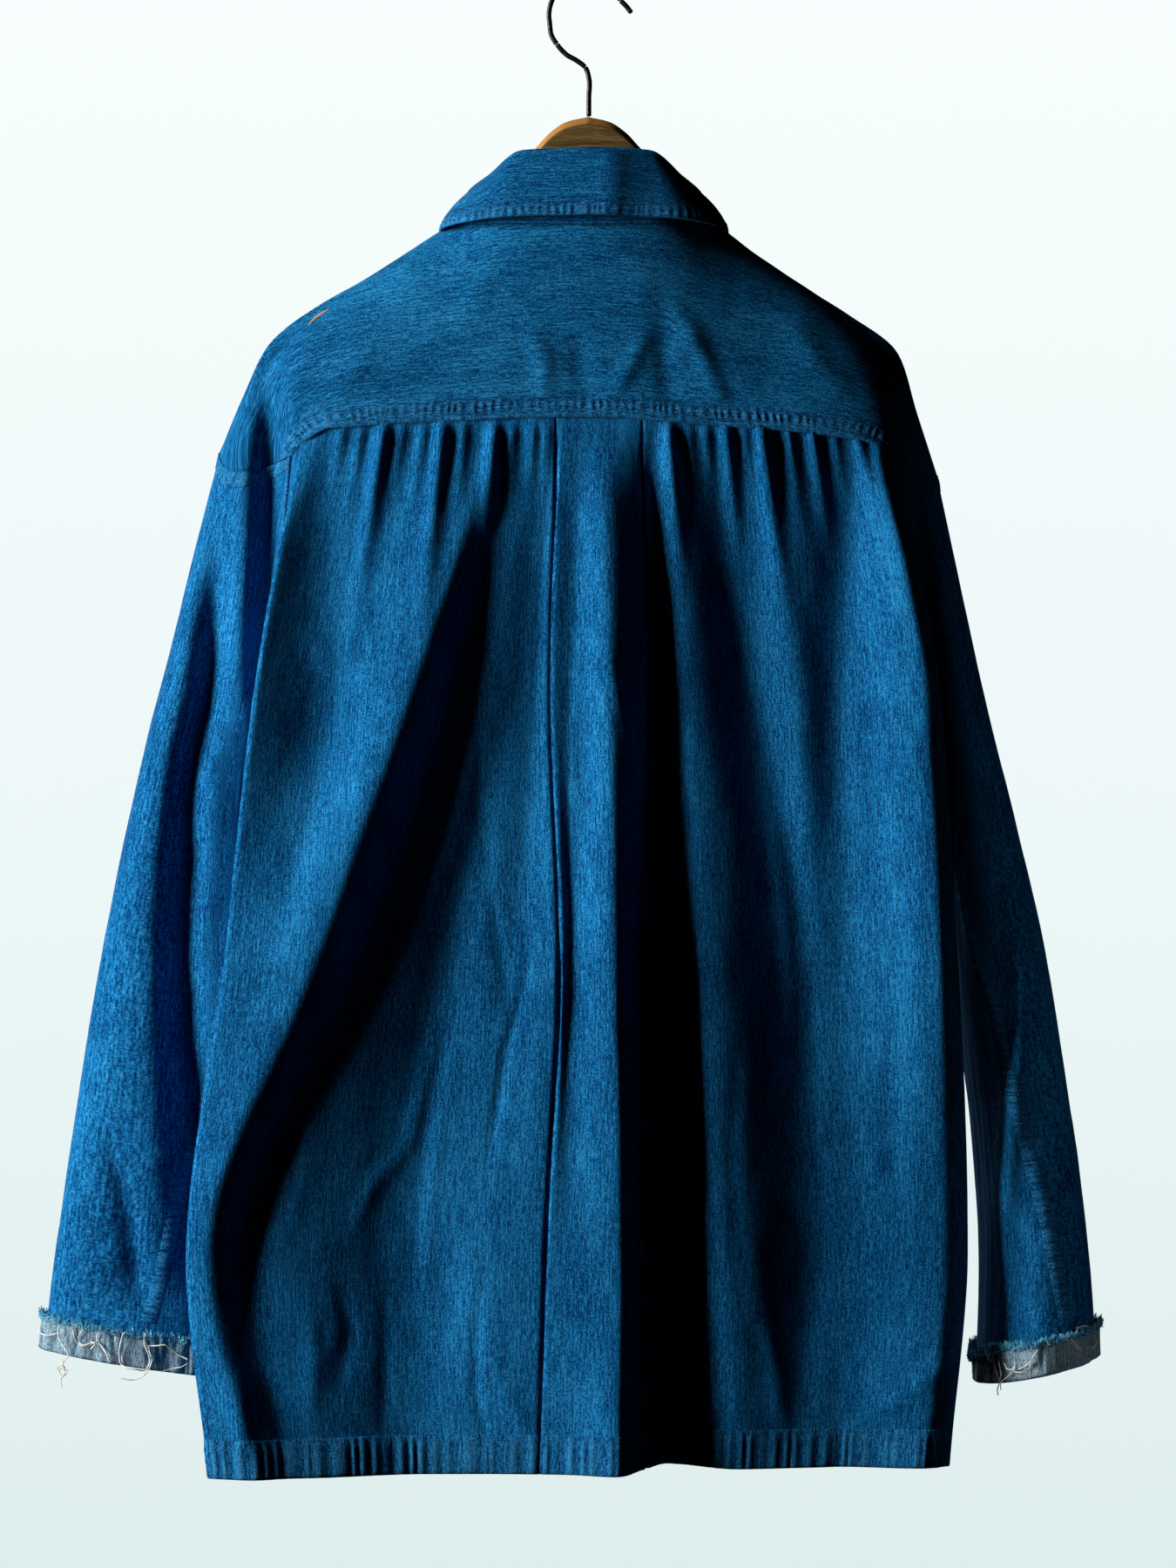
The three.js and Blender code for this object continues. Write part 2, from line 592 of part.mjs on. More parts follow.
// A closed wall of cloth: outer face, inner face and the strip of its border
function wallGeometry({ points, columns, cells, wall, normals: shared }) {
  const { moves, border } = drawnIn(points, cells);
  const positions = [];
  points.forEach((point, i) => {
    const normal = (shared.get(keyOf(point)) ?? new THREE.Vector3(0, 0, 1)).clone().normalize();
    const middle = point.clone().add(moves.get(i) ?? new THREE.Vector3());
    const half = wall(Math.floor(i / columns)) / 2;
    positions.push(...middle.clone().addScaledVector(normal, half).toArray());
    positions.push(...middle.clone().addScaledVector(normal, -half).toArray());
  });
  const index = [];
  cells.forEach((cell) => {
    // The cell is split along its shorter diagonal, which follows a fold that runs across the columns
    const corners = cell.map((index) => points[index]);
    const turned = corners[0].distanceTo(corners[2]) > corners[1].distanceTo(corners[3]);
    const [a, b, c, d] = turned ? [cell[1], cell[2], cell[3], cell[0]] : cell;
    index.push(2 * a, 2 * c, 2 * b, 2 * a, 2 * d, 2 * c);
    index.push(2 * a + 1, 2 * b + 1, 2 * c + 1, 2 * a + 1, 2 * c + 1, 2 * d + 1);
  });
  border.forEach(([a, b]) => index.push(2 * a, 2 * b, 2 * b + 1, 2 * a, 2 * b + 1, 2 * a + 1));
  const geometry = new THREE.BufferGeometry();
  geometry.setAttribute('position', new THREE.Float32BufferAttribute(positions, 3));
  geometry.setIndex(index);
  return geometry.toNonIndexed();
}

// Rows moved out along their own directions, for what lies on a panel
function movedOut(rows, distance) {
  return rows.map((row, r) =>
    row.map((point, c) => {
      const before = row[(c + row.length - 1) % row.length];
      const after = row[(c + 1) % row.length];
      const above = rows[Math.max(r - 1, 0)][c];
      const below = rows[Math.min(r + 1, rows.length - 1)][c];
      const normal = below.clone().sub(above).cross(after.clone().sub(before)).normalize();
      return point.clone().addScaledVector(normal, distance);
    }),
  );
}

// A rod of few sides along a curve
function rod(curve, radius, sides, steps) {
  const outline = Array.from({ length: sides }, (_, i) => {
    const angle = (2 * Math.PI * i) / sides;
    return new THREE.Vector2(radius * Math.cos(angle), radius * Math.sin(angle));
  });
  const shape = new THREE.Shape(outline);
  return new THREE.ExtrudeGeometry(shape, { extrudePath: curve, steps, bevelEnabled: false });
}

function toSolid(geometry) {
  const bare = new THREE.BufferGeometry();
  const loose = geometry.index ? geometry.toNonIndexed() : geometry;
  bare.setAttribute('position', loose.getAttribute('position'));
  const merged = mergeVertices(bare, 1e-3);
  return new wasm.Manifold(
    new wasm.Mesh({
      numProp: 3,
      vertProperties: new Float32Array(merged.getAttribute('position').array),
      triVerts: new Uint32Array(merged.index.array),
    }),
  );
}

function fromSolid(solid) {
  const { vertProperties, triVerts } = solid.getMesh();
  const geometry = new THREE.BufferGeometry();
  geometry.setAttribute('position', new THREE.Float32BufferAttribute(vertProperties, 3));
  geometry.setIndex(Array.from(triVerts));
  return geometry;
}

const group = new THREE.Group();

function addMesh(name, geometry, finish) {
  const mesh = new THREE.Mesh(geometry, new THREE.MeshStandardMaterial(FINISH[finish]));
  mesh.name = name;
  group.add(mesh);
  return mesh;
}

// The frayed edge: a narrow strip along the turn-up's top with thread ends fused into it
function frayGeometry(stripRows) {
  addCloth('strip', stripRows, 'fray', { around: true, weld: false });
  const strip = toSolid(wallGeometry(cloths.pop()));
  const [top, bottom] = [stripRows[0], stripRows[stripRows.length - 1]];
  const centre = new THREE.Vector3();
  top.forEach((point) => centre.addScaledVector(point, 1 / top.length));
  const solids = [strip];
  for (let k = 0; k < STRANDS.count; k += 1) {
    const place = (k / STRANDS.count) * top.length;
    const i = Math.floor(place) % top.length;
    const root = top[i].clone().lerp(bottom[i], 0.5).lerp(top[(i + 1) % top.length], place % 1);
    const out = root.clone().sub(centre).setZ(0).normalize();
    const along = new THREE.Vector3(-out.y, out.x, 0);
    const at = (outward, sideways, up) => {
      const point = root.clone().addScaledVector(out, outward).addScaledVector(along, sideways);
      return point.add(new THREE.Vector3(0, 0, up));
    };
    const isLong = k % STRANDS.longEvery === 2;
    const lean = STRANDS.lean * Math.sin(7 * k);
    const rise = STRANDS.rise + STRANDS.riseVaries * Math.sin(3 * k);
    const drop = STRANDS.drop + STRANDS.dropVaries * Math.sin(11 * k);
    const path = [at(-0.3, 0, 0), at(2.4, 0, rise)];
    if (isLong) path.push(at(6, lean, -drop / 2), at(7, 2 * lean, -drop));
    else path.push(at(3, lean, rise + 2));
    solids.push(toSolid(rod(new THREE.CatmullRomCurve3(path), STRANDS.radius, 3, isLong ? 4 : 2)));
  }
  return fromSolid(wasm.Manifold.union(solids));
}

// A button of the placket, a disc with a raised rim
function buttonGeometry() {
  const rim = BUTTON_RADIUS;
  const profile = [[0, 0], [rim, 0], [rim, 2.6], [rim - 2, 1.8], [0, 1.8]];
  const lathe = new THREE.LatheGeometry(profile.map(([r, h]) => new THREE.Vector2(r, h)), 10);
  return lathe.rotateX(Math.PI);
}

// One arm of the hanger from the middle to the tip: the crest, then just under the shoulder's ridge
function hangerArm(side) {
  const sign = sideSign(side);
  const ridges = SHOULDERS[side].slice(2).map(({ ridge }) => ridge);
  const [tip, ...inward] = ridges.map((ridge) => [ridge[0], ridge[2] - WOOD_UNDER_SHOULDER]);
  const rounded = [[tip[0] - 9, tip[1] + 5], [tip[0] - 4, tip[1] - 3 + WOOD_UNDER_SHOULDER]];
  return [...CREST, ...inward.reverse(), ...rounded].map(([x, top]) => ({
    x: sign * x,
    top,
    height: through(WOOD_HEIGHT.at, WOOD_HEIGHT.height, x),
  }));
}

function hangerGeometry() {
  const halfWood = WOOD_THICKNESS / 2;
  const halfFlat = WOOD_TOP_FLAT / 2;
  const stations = [...hangerArm('left').reverse(), ...hangerArm('right').slice(1)];
  const section = ({ x, top, height }) => [
    [x, halfFlat, top],
    [x, halfWood, top - WOOD_CHAMFER],
    [x, halfWood, top - height + 3],
    [x, halfWood - 4, top - height],
    [x, 4 - halfWood, top - height],
    [x, -halfWood, top - height + 3],
    [x, -halfWood, top - WOOD_CHAMFER],
    [x, -halfFlat, top],
  ];
  const positions = stations.flatMap((station) => section(station).flat());
  const sides = 8;
  const index = [];
  for (let s = 0; s + 1 < stations.length; s += 1) {
    for (let k = 0; k < sides; k += 1) {
      const a = s * sides + k;
      const b = s * sides + ((k + 1) % sides);
      index.push(a, b + sides, a + sides, a, b, b + sides);
    }
  }
  const last = (stations.length - 1) * sides;
  for (let k = 1; k + 1 < sides; k += 1) {
    index.push(0, k + 1, k);
    index.push(last, last + k, last + k + 1);
  }
  const geometry = new THREE.BufferGeometry();
  geometry.setAttribute('position', new THREE.Float32BufferAttribute(positions, 3));
  geometry.setIndex(index);
  return geometry;
}

// The hook: straight out of the crest, a bend, an arc over the origin and a flared tip
function hookGeometry() {
  const radius = HOOK_ARC.innerRadius + WIRE_RADIUS;
  const points = [...HOOK_SHANK, ...HOOK_BEND];
  for (let degrees = HOOK_ARC.from; degrees <= HOOK_ARC.to; degrees += HOOK_ARC.step) {
    const angle = (Math.PI / 180) * degrees;
    points.push([HOOK_ARC.x + radius * Math.cos(angle), HOOK_ARC.z + radius * Math.sin(angle)]);
  }
  points.push(...HOOK_TIP);
  const places = points.map(([x, z]) => new THREE.Vector3(x, 0, z));
  const curve = new THREE.CatmullRomCurve3(places, false, 'centripetal');
  return rod(curve, WIRE_RADIUS, 6, 40);
}

// Cloth
const sides = ['left', 'right'];
const yoke = yokeRows();
const back = backRows(yoke);
const fronts = { left: frontRows('left', yoke), right: frontRows('right', yoke) };
const hemWall = (r) => (r >= HEM_LEVEL ? HEM_CLOTH : CLOTH);
const pressedYoke = pressTucks('yoke', yoke);
addCloth('yoke', pressedYoke, 'yoke', { hasCell: yokeHasCell });
addCloth('back', back, 'denim', { wall: hemWall });
sides.forEach((side) => addCloth(`front_${side}`, fronts[side], 'denim', { wall: hemWall }));

const collarRing = [];
const ringSteps = [
  [1, FRONT_SEAM_AT, FRONT_ROWS],
  [FRONT_SEAM_AT, SHOULDER_AT, FRONT_ROWS],
  [SHOULDER_AT, -SHOULDER_AT, YOKE_COLUMNS.length - 1 - 2 * SHOULDER_STEPS],
  [-SHOULDER_AT, -FRONT_SEAM_AT, FRONT_ROWS],
  [-FRONT_SEAM_AT, -1, FRONT_ROWS],
];
ringSteps.forEach(([from, to, steps]) => {
  for (let k = 0; k < steps; k += 1) collarRing.push(mix(from, to, k / steps));
});
collarRing.push(-1);

// Rows of the collar between two of its curves, bowed outward
function collarRows(from, to, shares, bow, lift) {
  return shares.map((share) =>
    collarRing.map((q) => {
      const start = collarPoint(from, q);
      const end = collarPoint(to, q);
      const point = start.clone().lerp(end, share);
      const out = new THREE.Vector3(point.x, point.y + 10, 0).normalize();
      return point.addScaledVector(out, bow * Math.sin(Math.PI * share) + lift * fadeOut(share));
    }),
  );
}
const collarWall = () => COLLAR_CLOTH;
const standRows = collarRows('fold', 'neck', [0.06, 0.5, 1], 0, 0);
const leafRows = collarRows('fold', 'edge', [0, 0.3, 0.65, 1], 3, 2.6);
addCloth('collar_stand', standRows, 'yoke', { wall: collarWall });
addCloth('collar_leaf', leafRows, 'yoke', { wall: collarWall, weld: false });

sides.forEach((side) => {
  const name = `sleeve_${side}`;
  const armhole = armholeRing(side, yoke, back, fronts[side]);
  const rows = pressTucks(name, sleeveRows(side, armhole, SLEEVE_LEVELS));
  [rows[0]] = sleeveRows(side, armholeRing(side, pressedYoke, back, fronts[side]), [0]);
  addCloth(name, rows, 'denim', { around: true });
  const length = CORNER_Z - SLEEVES[side].cuffOuterZ;
  const turnLevels = [TURN_UP_HEIGHT, TURN_UP_HEIGHT / 2, 0.5].map((up) => 1 - up / length);
  const onCuff = (levels) => movedOut(sleeveRows(side, armhole, levels), CLOTH + SEAM_GAP);
  addCloth(`turn_up_${side}`, onCuff(turnLevels), 'reverse', { around: true, weld: false });
  const frayLevels = [TURN_UP_HEIGHT + FRAY_HEIGHT, TURN_UP_HEIGHT].map((up) => 1 - up / length);
  addMesh(`frayed_edge_${side}`, frayGeometry(onCuff(frayLevels)), 'fray');
});

// The placket lies on both fronts, from its edge on one to its edge on the other, and over their hems
const fromCentre = FRONT_FOLDS[0].x[0];
const columnWidth = (FRONT_FOLDS[1].x[0] - fromCentre) / 2;
const placketShare = (PLACKET_WIDTH / 2 - fromCentre) / columnWidth;
const placketRows = fronts.left.map((row, r) => {
  const right = fronts.right[r];
  const last = right.length - 1;
  const overHem = r >= HEM_LEVEL - 1 ? (HEM_CLOTH - CLOTH) * 0.7 : 0;
  const forward = new THREE.Vector3(0, -CLOTH - SEAM_GAP - overHem, 0);
  const rightEdge = right[last].clone().lerp(right[last - 1], placketShare);
  const leftEdge = row[0].clone().lerp(row[1], placketShare);
  return [rightEdge, right[last], row[0], leftEdge].map((point) => point.clone().add(forward));
});
addCloth('placket', placketRows, 'denim', { weld: false });

cloths.forEach((cloth) => addMesh(cloth.name, wallGeometry(cloth), cloth.finish));

// Buttons down the placket
const placketZ = placketRows.map((row) => row[1].z);
const placketY = placketRows.map((row) => row[1].y);
for (let k = 0; k < BUTTON_COUNT; k += 1) {
  const z = placketZ[0] - BUTTON_TOP_DROP - k * BUTTON_PITCH;
  const mesh = addMesh(`button_${k + 1}`, buttonGeometry(), 'button');
  mesh.position.set(0, through(placketZ, placketY, z) - CLOTH / 2 - BUTTON_CLEARANCE, z);
}

addMesh('hanger_body', hangerGeometry(), 'wood');
addMesh('hanger_hook', hookGeometry(), 'wire');

export default group;
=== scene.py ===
import math

import bpy
import numpy as np
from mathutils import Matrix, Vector


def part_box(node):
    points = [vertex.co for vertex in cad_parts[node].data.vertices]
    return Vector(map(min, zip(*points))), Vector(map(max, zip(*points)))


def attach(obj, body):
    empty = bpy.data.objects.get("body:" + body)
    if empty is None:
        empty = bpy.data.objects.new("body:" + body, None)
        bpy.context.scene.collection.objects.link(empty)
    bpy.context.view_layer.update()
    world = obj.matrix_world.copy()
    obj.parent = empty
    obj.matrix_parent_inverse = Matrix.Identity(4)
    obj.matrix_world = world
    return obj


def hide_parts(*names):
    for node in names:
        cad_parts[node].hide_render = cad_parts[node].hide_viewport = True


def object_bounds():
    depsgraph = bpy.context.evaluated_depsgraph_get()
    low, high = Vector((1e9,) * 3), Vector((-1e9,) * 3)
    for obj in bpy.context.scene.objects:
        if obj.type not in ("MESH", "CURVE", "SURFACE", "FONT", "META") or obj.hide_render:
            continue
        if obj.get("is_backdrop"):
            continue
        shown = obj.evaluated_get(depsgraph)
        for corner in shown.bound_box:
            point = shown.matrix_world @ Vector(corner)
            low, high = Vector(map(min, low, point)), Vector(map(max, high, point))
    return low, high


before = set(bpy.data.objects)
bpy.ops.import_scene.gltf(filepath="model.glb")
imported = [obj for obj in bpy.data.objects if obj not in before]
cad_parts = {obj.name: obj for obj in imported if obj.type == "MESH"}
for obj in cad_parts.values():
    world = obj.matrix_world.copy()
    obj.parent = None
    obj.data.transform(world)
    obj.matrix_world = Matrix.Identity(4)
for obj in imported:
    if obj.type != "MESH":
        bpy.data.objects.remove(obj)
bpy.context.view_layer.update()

# A denim shirt on a wooden hanger. Tables are in millimetres in the frame of the CAD part:
# the origin is the inside top of the hook, +X the wearer's left, -Y the front and +Z up.
MM = 0.001
CLOTH = 1.4
COLLAR_CLOTH = 2.0
BAND_CLOTH = 0.7
TURN_UP_CLOTH = 1.0
SEAM_GAP = 0.5
HEM_Z = -899
CORNER_Z = -290
TURN_UP_HEIGHT = 20
PLACKET_WIDTH = 36
BUTTON_COUNT = 6
WIRE_RADIUS = 1.6
WOOD_THICKNESS = 18
PUCKER_PITCH = 5.3
FIBRES = 2500
SEED = 7

# The photograph: pixels of its middle and height, size of a pixel at the shirt, and the camera's place
PHOTO_CENTRE = 675
PHOTO_TOP = 22
PHOTO_HEIGHT = 1800
PIXEL = 0.53
CENTRE_Z = -488.7
CAMERA_FAR = 3000

HEIGHTS = [-275, -430, -600, -770, HEM_Z]

# The back's fold lines: place across and depth at each of the HEIGHTS
BACK_FOLDS = {
    "left edge": {"x": [172, 199, 217, 238, 224], "y": [33, 48, 63, 70, 86]},
    "edge valley": {"x": [157, 157, 196, 233, 212], "y": [30, 36, 67, 72, 90]},
    "big ridge": {"x": [56, 106, 166, 226, 198], "y": [38, 53, 73, 74, 94]},
    "foot of big ridge": {"x": [42, 78, 136, 203, 178], "y": [37.5, 32, 50, 58, 86]},
    "small ridge": {"x": [36, 60, 112, 178, 160], "y": [37, 32, 46, 57, 83]},
    "streak valley": {"x": [32, 48, 86, 103, 96], "y": [37, 30, 38, 40, 66]},
    "lower ridge": {"x": [28, 40, 62, 84, 84], "y": [37.5, 28, 46, 44, 66]},
    "sharp crease": {"x": [23, 32, 46, 62, 64], "y": [38, 27, 47, 50, 66]},
    "pleat left edge": {"x": [17, 22, 16, 24, 28], "y": [40, 33, 55, 53, 68]},
    "inside the pleat": {"x": [6, 10, 12, 14, 12], "y": [39, 31, 51, 54, 70]},
    "pleat crest": {"x": [-10, -13, -16, -19, -17], "y": [43, 44, 64, 60, 80]},
    "pleat right edge": {"x": [-30, -35, -34, -34, -33], "y": [39, 26, 36, 34, 46]},
    "deep valley": {"x": [-37, -42, -47, -50, -47], "y": [34, 16, 22, 18, 20]},
    "second ridge": {"x": [-50, -61, -72, -83, -90], "y": [37, 26, 40, 37, 46]},
    "second slope": {"x": [-76, -99, -133, -141, -126], "y": [34, 12, 20, 18, 40]},
    "third ridge": {"x": [-120, -126, -142, -148, -138], "y": [37, 21, 22, 18.5, 38]},
    "third valley": {"x": [-163, -151, -151, -156, -152], "y": [29, 15, 23, 19, 35]},
    "broad ridge": {"x": [-175, -201, -211, -214, -200], "y": [36, 43, 49, 28, 43]},
    "right edge": {"x": [-180, -211, -222, -229, -217], "y": [28, 33, 37, 20, 32]},
}
FOLD_NAMES = list(BACK_FOLDS)
PLEAT = {
    "left": {"under": [8, 7, 3, 0.5, 0.5], "drop": [5, 5, 4, 2, 2]},
    "right": {"under": [7, 4, 0.5, 0.5, 0.5], "drop": [4, 4, 3, 3, 3]},
}
FRONT_FOLDS = {
    "centre": {"x": [6, 6, 6, 6, 6], "y": [-44, -47, -51, -53, -55]},
    "beside the placket": {"x": [42, 44, 42, 42, 44], "y": [-41, -43, -46, -46, -50]},
    "inner ridge": {"x": [78, 76, 74, 76, 80], "y": [-38, -52, -58, -62, -66]},
    "valley": {"x": [112, 108, 102, 104, 108], "y": [-37, -38, -42, -44, -44]},
    "outer ridge": {"x": [146, 138, 130, 134, 140], "y": [-34, -46, -55, -59, -60]},
    "front edge": {"x": [168, 166, 153, 158, 163], "y": [-30, -36, -44, -46, -44]},
}
RIGHT_FRONT_WIDEN = 1.02
GATHER_DEPTH = 2.9
# Gathers under the yoke: place across, strength and how far down each one fades
GATHERS = {
    "x": [171, 146, 135, 122, 111, 98, 87, 74, 56, 45, 33, 24,
          -48, -60, -70, -82, -93, -103, -119, -133, -146, -160, -172],
    "strength": [1.2, 0.5, 0.6, 1.4, 0.6, 0.7, 1.4, 0.7, 1.2, 0.6, 0.8, 1.0,
                 1.5, 0.5, 0.6, 1.2, 0.6, 1.4, 0.7, 0.9, 0.5, 0.7, 1.4],
    "length": [90, 50, 70, 150, 60, 70, 170, 80, 110, 60, 70, 90,
               120, 50, 60, 120, 60, 170, 80, 100, 60, 70, 150],
}
SIDE_SEAM = {
    "left": {"x": [178, 190, 193, 204, 205], "y": [0, -3, -8, -5, 4]},
    "right": {"x": [184, 193, 199, 206, 201], "y": [0, -3, -8, -5, 2]},
}
ARMHOLE_HALF_DEPTH = 25
UNDERARM_GAP = 2.2
ARMHOLE_SAG = 12
UNDERARM_SHARE = 0.34
RING_LEVELS = [0, 0.015, 0.05, 0.1, 0.155, 0.215, 0.275]
SLEEVE_HEIGHTS = [-290, -430, -520, -600, -700, -780, -850]
SLEEVES = {
    "left": {
        "outer": [224, 260, 282, 299, 316, 328, 336],
        "inner": [150, 192, 204, 203, 207, 211, 214],
        "middle": [-3, -8, -15, -27, -36, -40, -42],
        "half_depth": [28, 33, 36, 36, 33, 30, 28],
        "cuff_outer": -835,
        "cuff_inner": -853,
    },
    "right": {
        "outer": [212, 240, 263, 281, 297, 307, 311],
        "inner": [150, 210, 218, 223, 236, 241, 239],
        "middle": [-3, -12, -20, -26, -28, -27, -25],
        "half_depth": [28, 33, 40, 46, 47, 47, 47],
        "cuff_outer": -837,
        "cuff_inner": -853,
    },
}
# Shoulder line and front yoke seam, from the armhole to the neck
SHOULDERS = {
    "left": {
        "ridge": [[224, -3, -287], [209, -2, -252], [194, 0, -222],
                  [165, 0, -199], [137, 0, -183], [108, 0, -165]],
        "front": [[178, -25, -290], [173, -31, -277], [163, -33, -263],
                  [143, -33, -243], [121, -33, -226], [98, -32, -204]],
    },
    "right": {
        "ridge": [[212, -3, -301], [200, -2, -264], [188, 0, -227],
                  [160, 0, -205], [132, 0, -187], [104, 0, -168]],
        "front": [[184, -25, -290], [178, -31, -280], [165, -33, -267],
                  [140, -33, -246], [117, -33, -228], [93, -32, -205]],
    },
}
YOKE_SEAM = {
    "x": [178, 170, 155, 100, 0, -77, -155, -176, -184],
    "y": [25, 30, 33, 36, 38, 36, 32, 29, 25],
    "z": [-290, -280, -274, -270, -267, -272, -279, -284, -290],
}
# The collar from the centre back to the centre front: neck seam, fold and lower edge of the leaf
COLLAR = {
    "at": [0, 0.2, 0.34, 0.45, 0.65, 0.85, 1],
    "neck": [[0, 36, -151], [42, 33, -150], [66, 21, -149], [80, 0, -148],
             [74, -28, -178], [44, -41, -204], [6, -45, -216]],
    "fold": [[0, 23, -107], [38, 19, -108], [57, 9, -121], [72, -8, -133],
             [68, -31, -157], [42, -47, -184], [8, -52, -197]],
    "edge": [[0, 42, -147], [46, 40, -148], [73, 30, -150], [89, 4, -152],
             [92, -38, -180], [78, -55, -222], [52, -62, -246]],
}
COLLAR_RIGHT = 0.94
SHOULDER_AT = 0.45
FRONT_SEAM_AT = 0.65
# Tucks: the nodes they cross, path across and down, half width and depth into the cloth
TUCKS = [
    {"on": ["yoke", "sleeve_left"], "half": 9, "depth": 15,
     "x": [193, 193, 198, 203], "z": [-226, -300, -380, -450]},
    {"on": ["yoke", "sleeve_right"], "half": 8, "depth": 13,
     "x": [-190, -196, -203, -208], "z": [-236, -300, -380, -450]},
    {"on": ["sleeve_left"], "half": 11, "depth": 20,
     "x": [221, 229, 243, 248, 244, 240], "z": [-305, -420, -500, -600, -700, -808]},
    {"on": ["sleeve_left"], "half": 12, "depth": -11,
     "x": [197, 200, 206, 212, 214], "z": [-320, -420, -540, -640, -740]},
    {"on": ["sleeve_left"], "half": 7, "depth": 5,
     "x": [292, 282, 276, 273], "z": [-700, -745, -790, -812]},
    {"on": ["sleeve_right"], "half": 8, "depth": -8,
     "x": [-262, -262, -254, -250, -250], "z": [-520, -620, -700, -750, -806]},
]
TUCK_ONSET = 1.6
YOKE_MIDDLE = -3
FACING_DEPTH = 12

# Small creases that lie on the larger folds: path in x and z, half width and height out of the cloth
CREASES = {
    "back": [
        {"x": [64, 66, 58, 50, 46], "z": [-448, -496, -560, -600, -640], "half": 4, "out": -1.6},
        {"x": [80, 96, 108, 130, 142], "z": [-600, -660, -705, -730, -760], "half": 5, "out": 2.0},
        {"x": [37, 35, 42, 50, 54, 62], "z": [-568, -597, -624, -650, -680, -730], "half": 2.5, "out": -2.4},
        {"x": [62, 67, 67, 60], "z": [-770, -820, -850, -885], "half": 3, "out": -1.8},
        {"x": [73, 80, 92, 97, 95], "z": [-580, -645, -720, -780, -825], "half": 5, "out": 2.0},
        {"x": [122, 121, 122], "z": [-790, -830, -880], "half": 4, "out": -1.2},
        {"x": [-62, -64], "z": [-580, -632], "half": 2.5, "out": -1.6},
        {"x": [-160, -190, -224], "z": [-876, -856, -832], "half": 5, "out": 1.8},
        {"x": [-196, -204, -214], "z": [-390, -420, -470], "half": 6, "out": 2.2},
        {"x": [150, 160, 172], "z": [-430, -410, -395], "half": 7, "out": 1.2},
        {"x": [140, 160, 186], "z": [-470, -455, -450], "half": 7, "out": -1.0},
        {"x": [-10, -22, -28], "z": [-405, -450, -500], "half": 3, "out": 1.2},
        {"x": [4, 8, 9], "z": [-400, -470, -560], "half": 3, "out": 1.2},
        {"x": [-110, -118, -124], "z": [-500, -560, -640], "half": 5, "out": 1.2},
        {"x": [160, 175, 190], "z": [-690, -730, -790], "half": 7, "out": 1.2},
        {"x": [-90, -86, -92], "z": [-640, -720, -800], "half": 5, "out": -1.0},
        {"x": [193, 186, 178], "z": [-838, -862, -884], "half": 4, "out": -2.0},
        {"x": [209, 206, 201], "z": [-838, -862, -886], "half": 5, "out": 2.0},
        {"x": [214, 211, 208], "z": [-864, -876, -888], "half": 3, "out": -1.3},
        {"x": [149, 142, 150], "z": [-786, -815, -852], "half": 5, "out": -1.8},
        {"x": [168, 163, 166], "z": [-800, -830, -868], "half": 6, "out": 1.5},
        {"x": [52, 44, 30], "z": [-838, -862, -884], "half": 6, "out": 1.6},
        {"x": [-104, -112, -118], "z": [-800, -840, -884], "half": 6, "out": 1.4},
        {"x": [-60, -70, -76], "z": [-700, -760, -820], "half": 5, "out": 1.3},
        {"x": [-188, -182, -190], "z": [-600, -680, -760], "half": 6, "out": -1.3},
    ],
    "yoke": [
        {"x": [-50, -68, -82], "z": [-200, -230, -262], "half": 6, "out": 2.2},
        {"x": [-36, -28, -14], "z": [-216, -232, -256], "half": 5, "out": 1.8},
        {"x": [-44, -46, -50], "z": [-212, -236, -262], "half": 6, "out": -1.4},
        {"x": [8, 4, 2], "z": [-214, -236, -262], "half": 8, "out": -1.7},
        {"x": [-70, -60, -48], "z": [-212, -222, -240], "half": 7, "out": 1.0},
        {"x": [60, 66, 80], "z": [-176, -196, -214], "half": 8, "out": 0.9},
        {"x": [120, 138, 158], "z": [-214, -236, -262], "half": 8, "out": 1.2},
        {"x": [-120, -138, -160], "z": [-210, -234, -262], "half": 8, "out": 1.3},
        {"x": [166, 176, 182], "z": [-220, -244, -270], "half": 6, "out": 1.4},
        {"x": [34, 26, 26], "z": [-212, -236, -262], "half": 7, "out": 1.9},
    ],
    "sleeve_left": [
        {"x": [232, 258, 276], "z": [-430, -446, -470], "half": 8, "out": 1.5},
        {"x": [220, 244, 262], "z": [-520, -540, -546], "half": 9, "out": -1.4},
        {"x": [226, 262, 300], "z": [-700, -720, -716], "half": 8, "out": 1.5},
        {"x": [218, 236, 250], "z": [-640, -668, -704], "half": 7, "out": -1.4},
        {"x": [282, 300, 322], "z": [-770, -790, -800], "half": 8, "out": 1.4},
        {"x": [238, 262, 284], "z": [-590, -612, -620], "half": 9, "out": 1.3},
    ],
    "sleeve_right": [
        {"x": [-246, -262, -280], "z": [-660, -690, -700], "half": 7, "out": 1.8},
        {"x": [-250, -276, -300], "z": [-730, -762, -774], "half": 8, "out": 1.8},
        {"x": [-226, -244, -256], "z": [-460, -490, -540], "half": 8, "out": 1.6},
        {"x": [-248, -262, -284], "z": [-600, -632, -640], "half": 8, "out": -1.4},
        {"x": [-262, -280, -300], "z": [-800, -812, -820], "half": 7, "out": 1.4},
    ],
}
def rows_of(values, width):
    return np.broadcast_to(np.asarray(values, float), (width, len(values)))


def hermite(t, span, start, end, start_slope, end_slope):
    """A smooth value between two stations, from the values and the slopes at both."""
    return (
        start * (2 * t**3 - 3 * t**2 + 1)
        + end * (3 * t**2 - 2 * t**3)
        + start_slope * span * (t**3 - 2 * t**2 + t)
        + end_slope * span * (t**3 - t**2)
    )


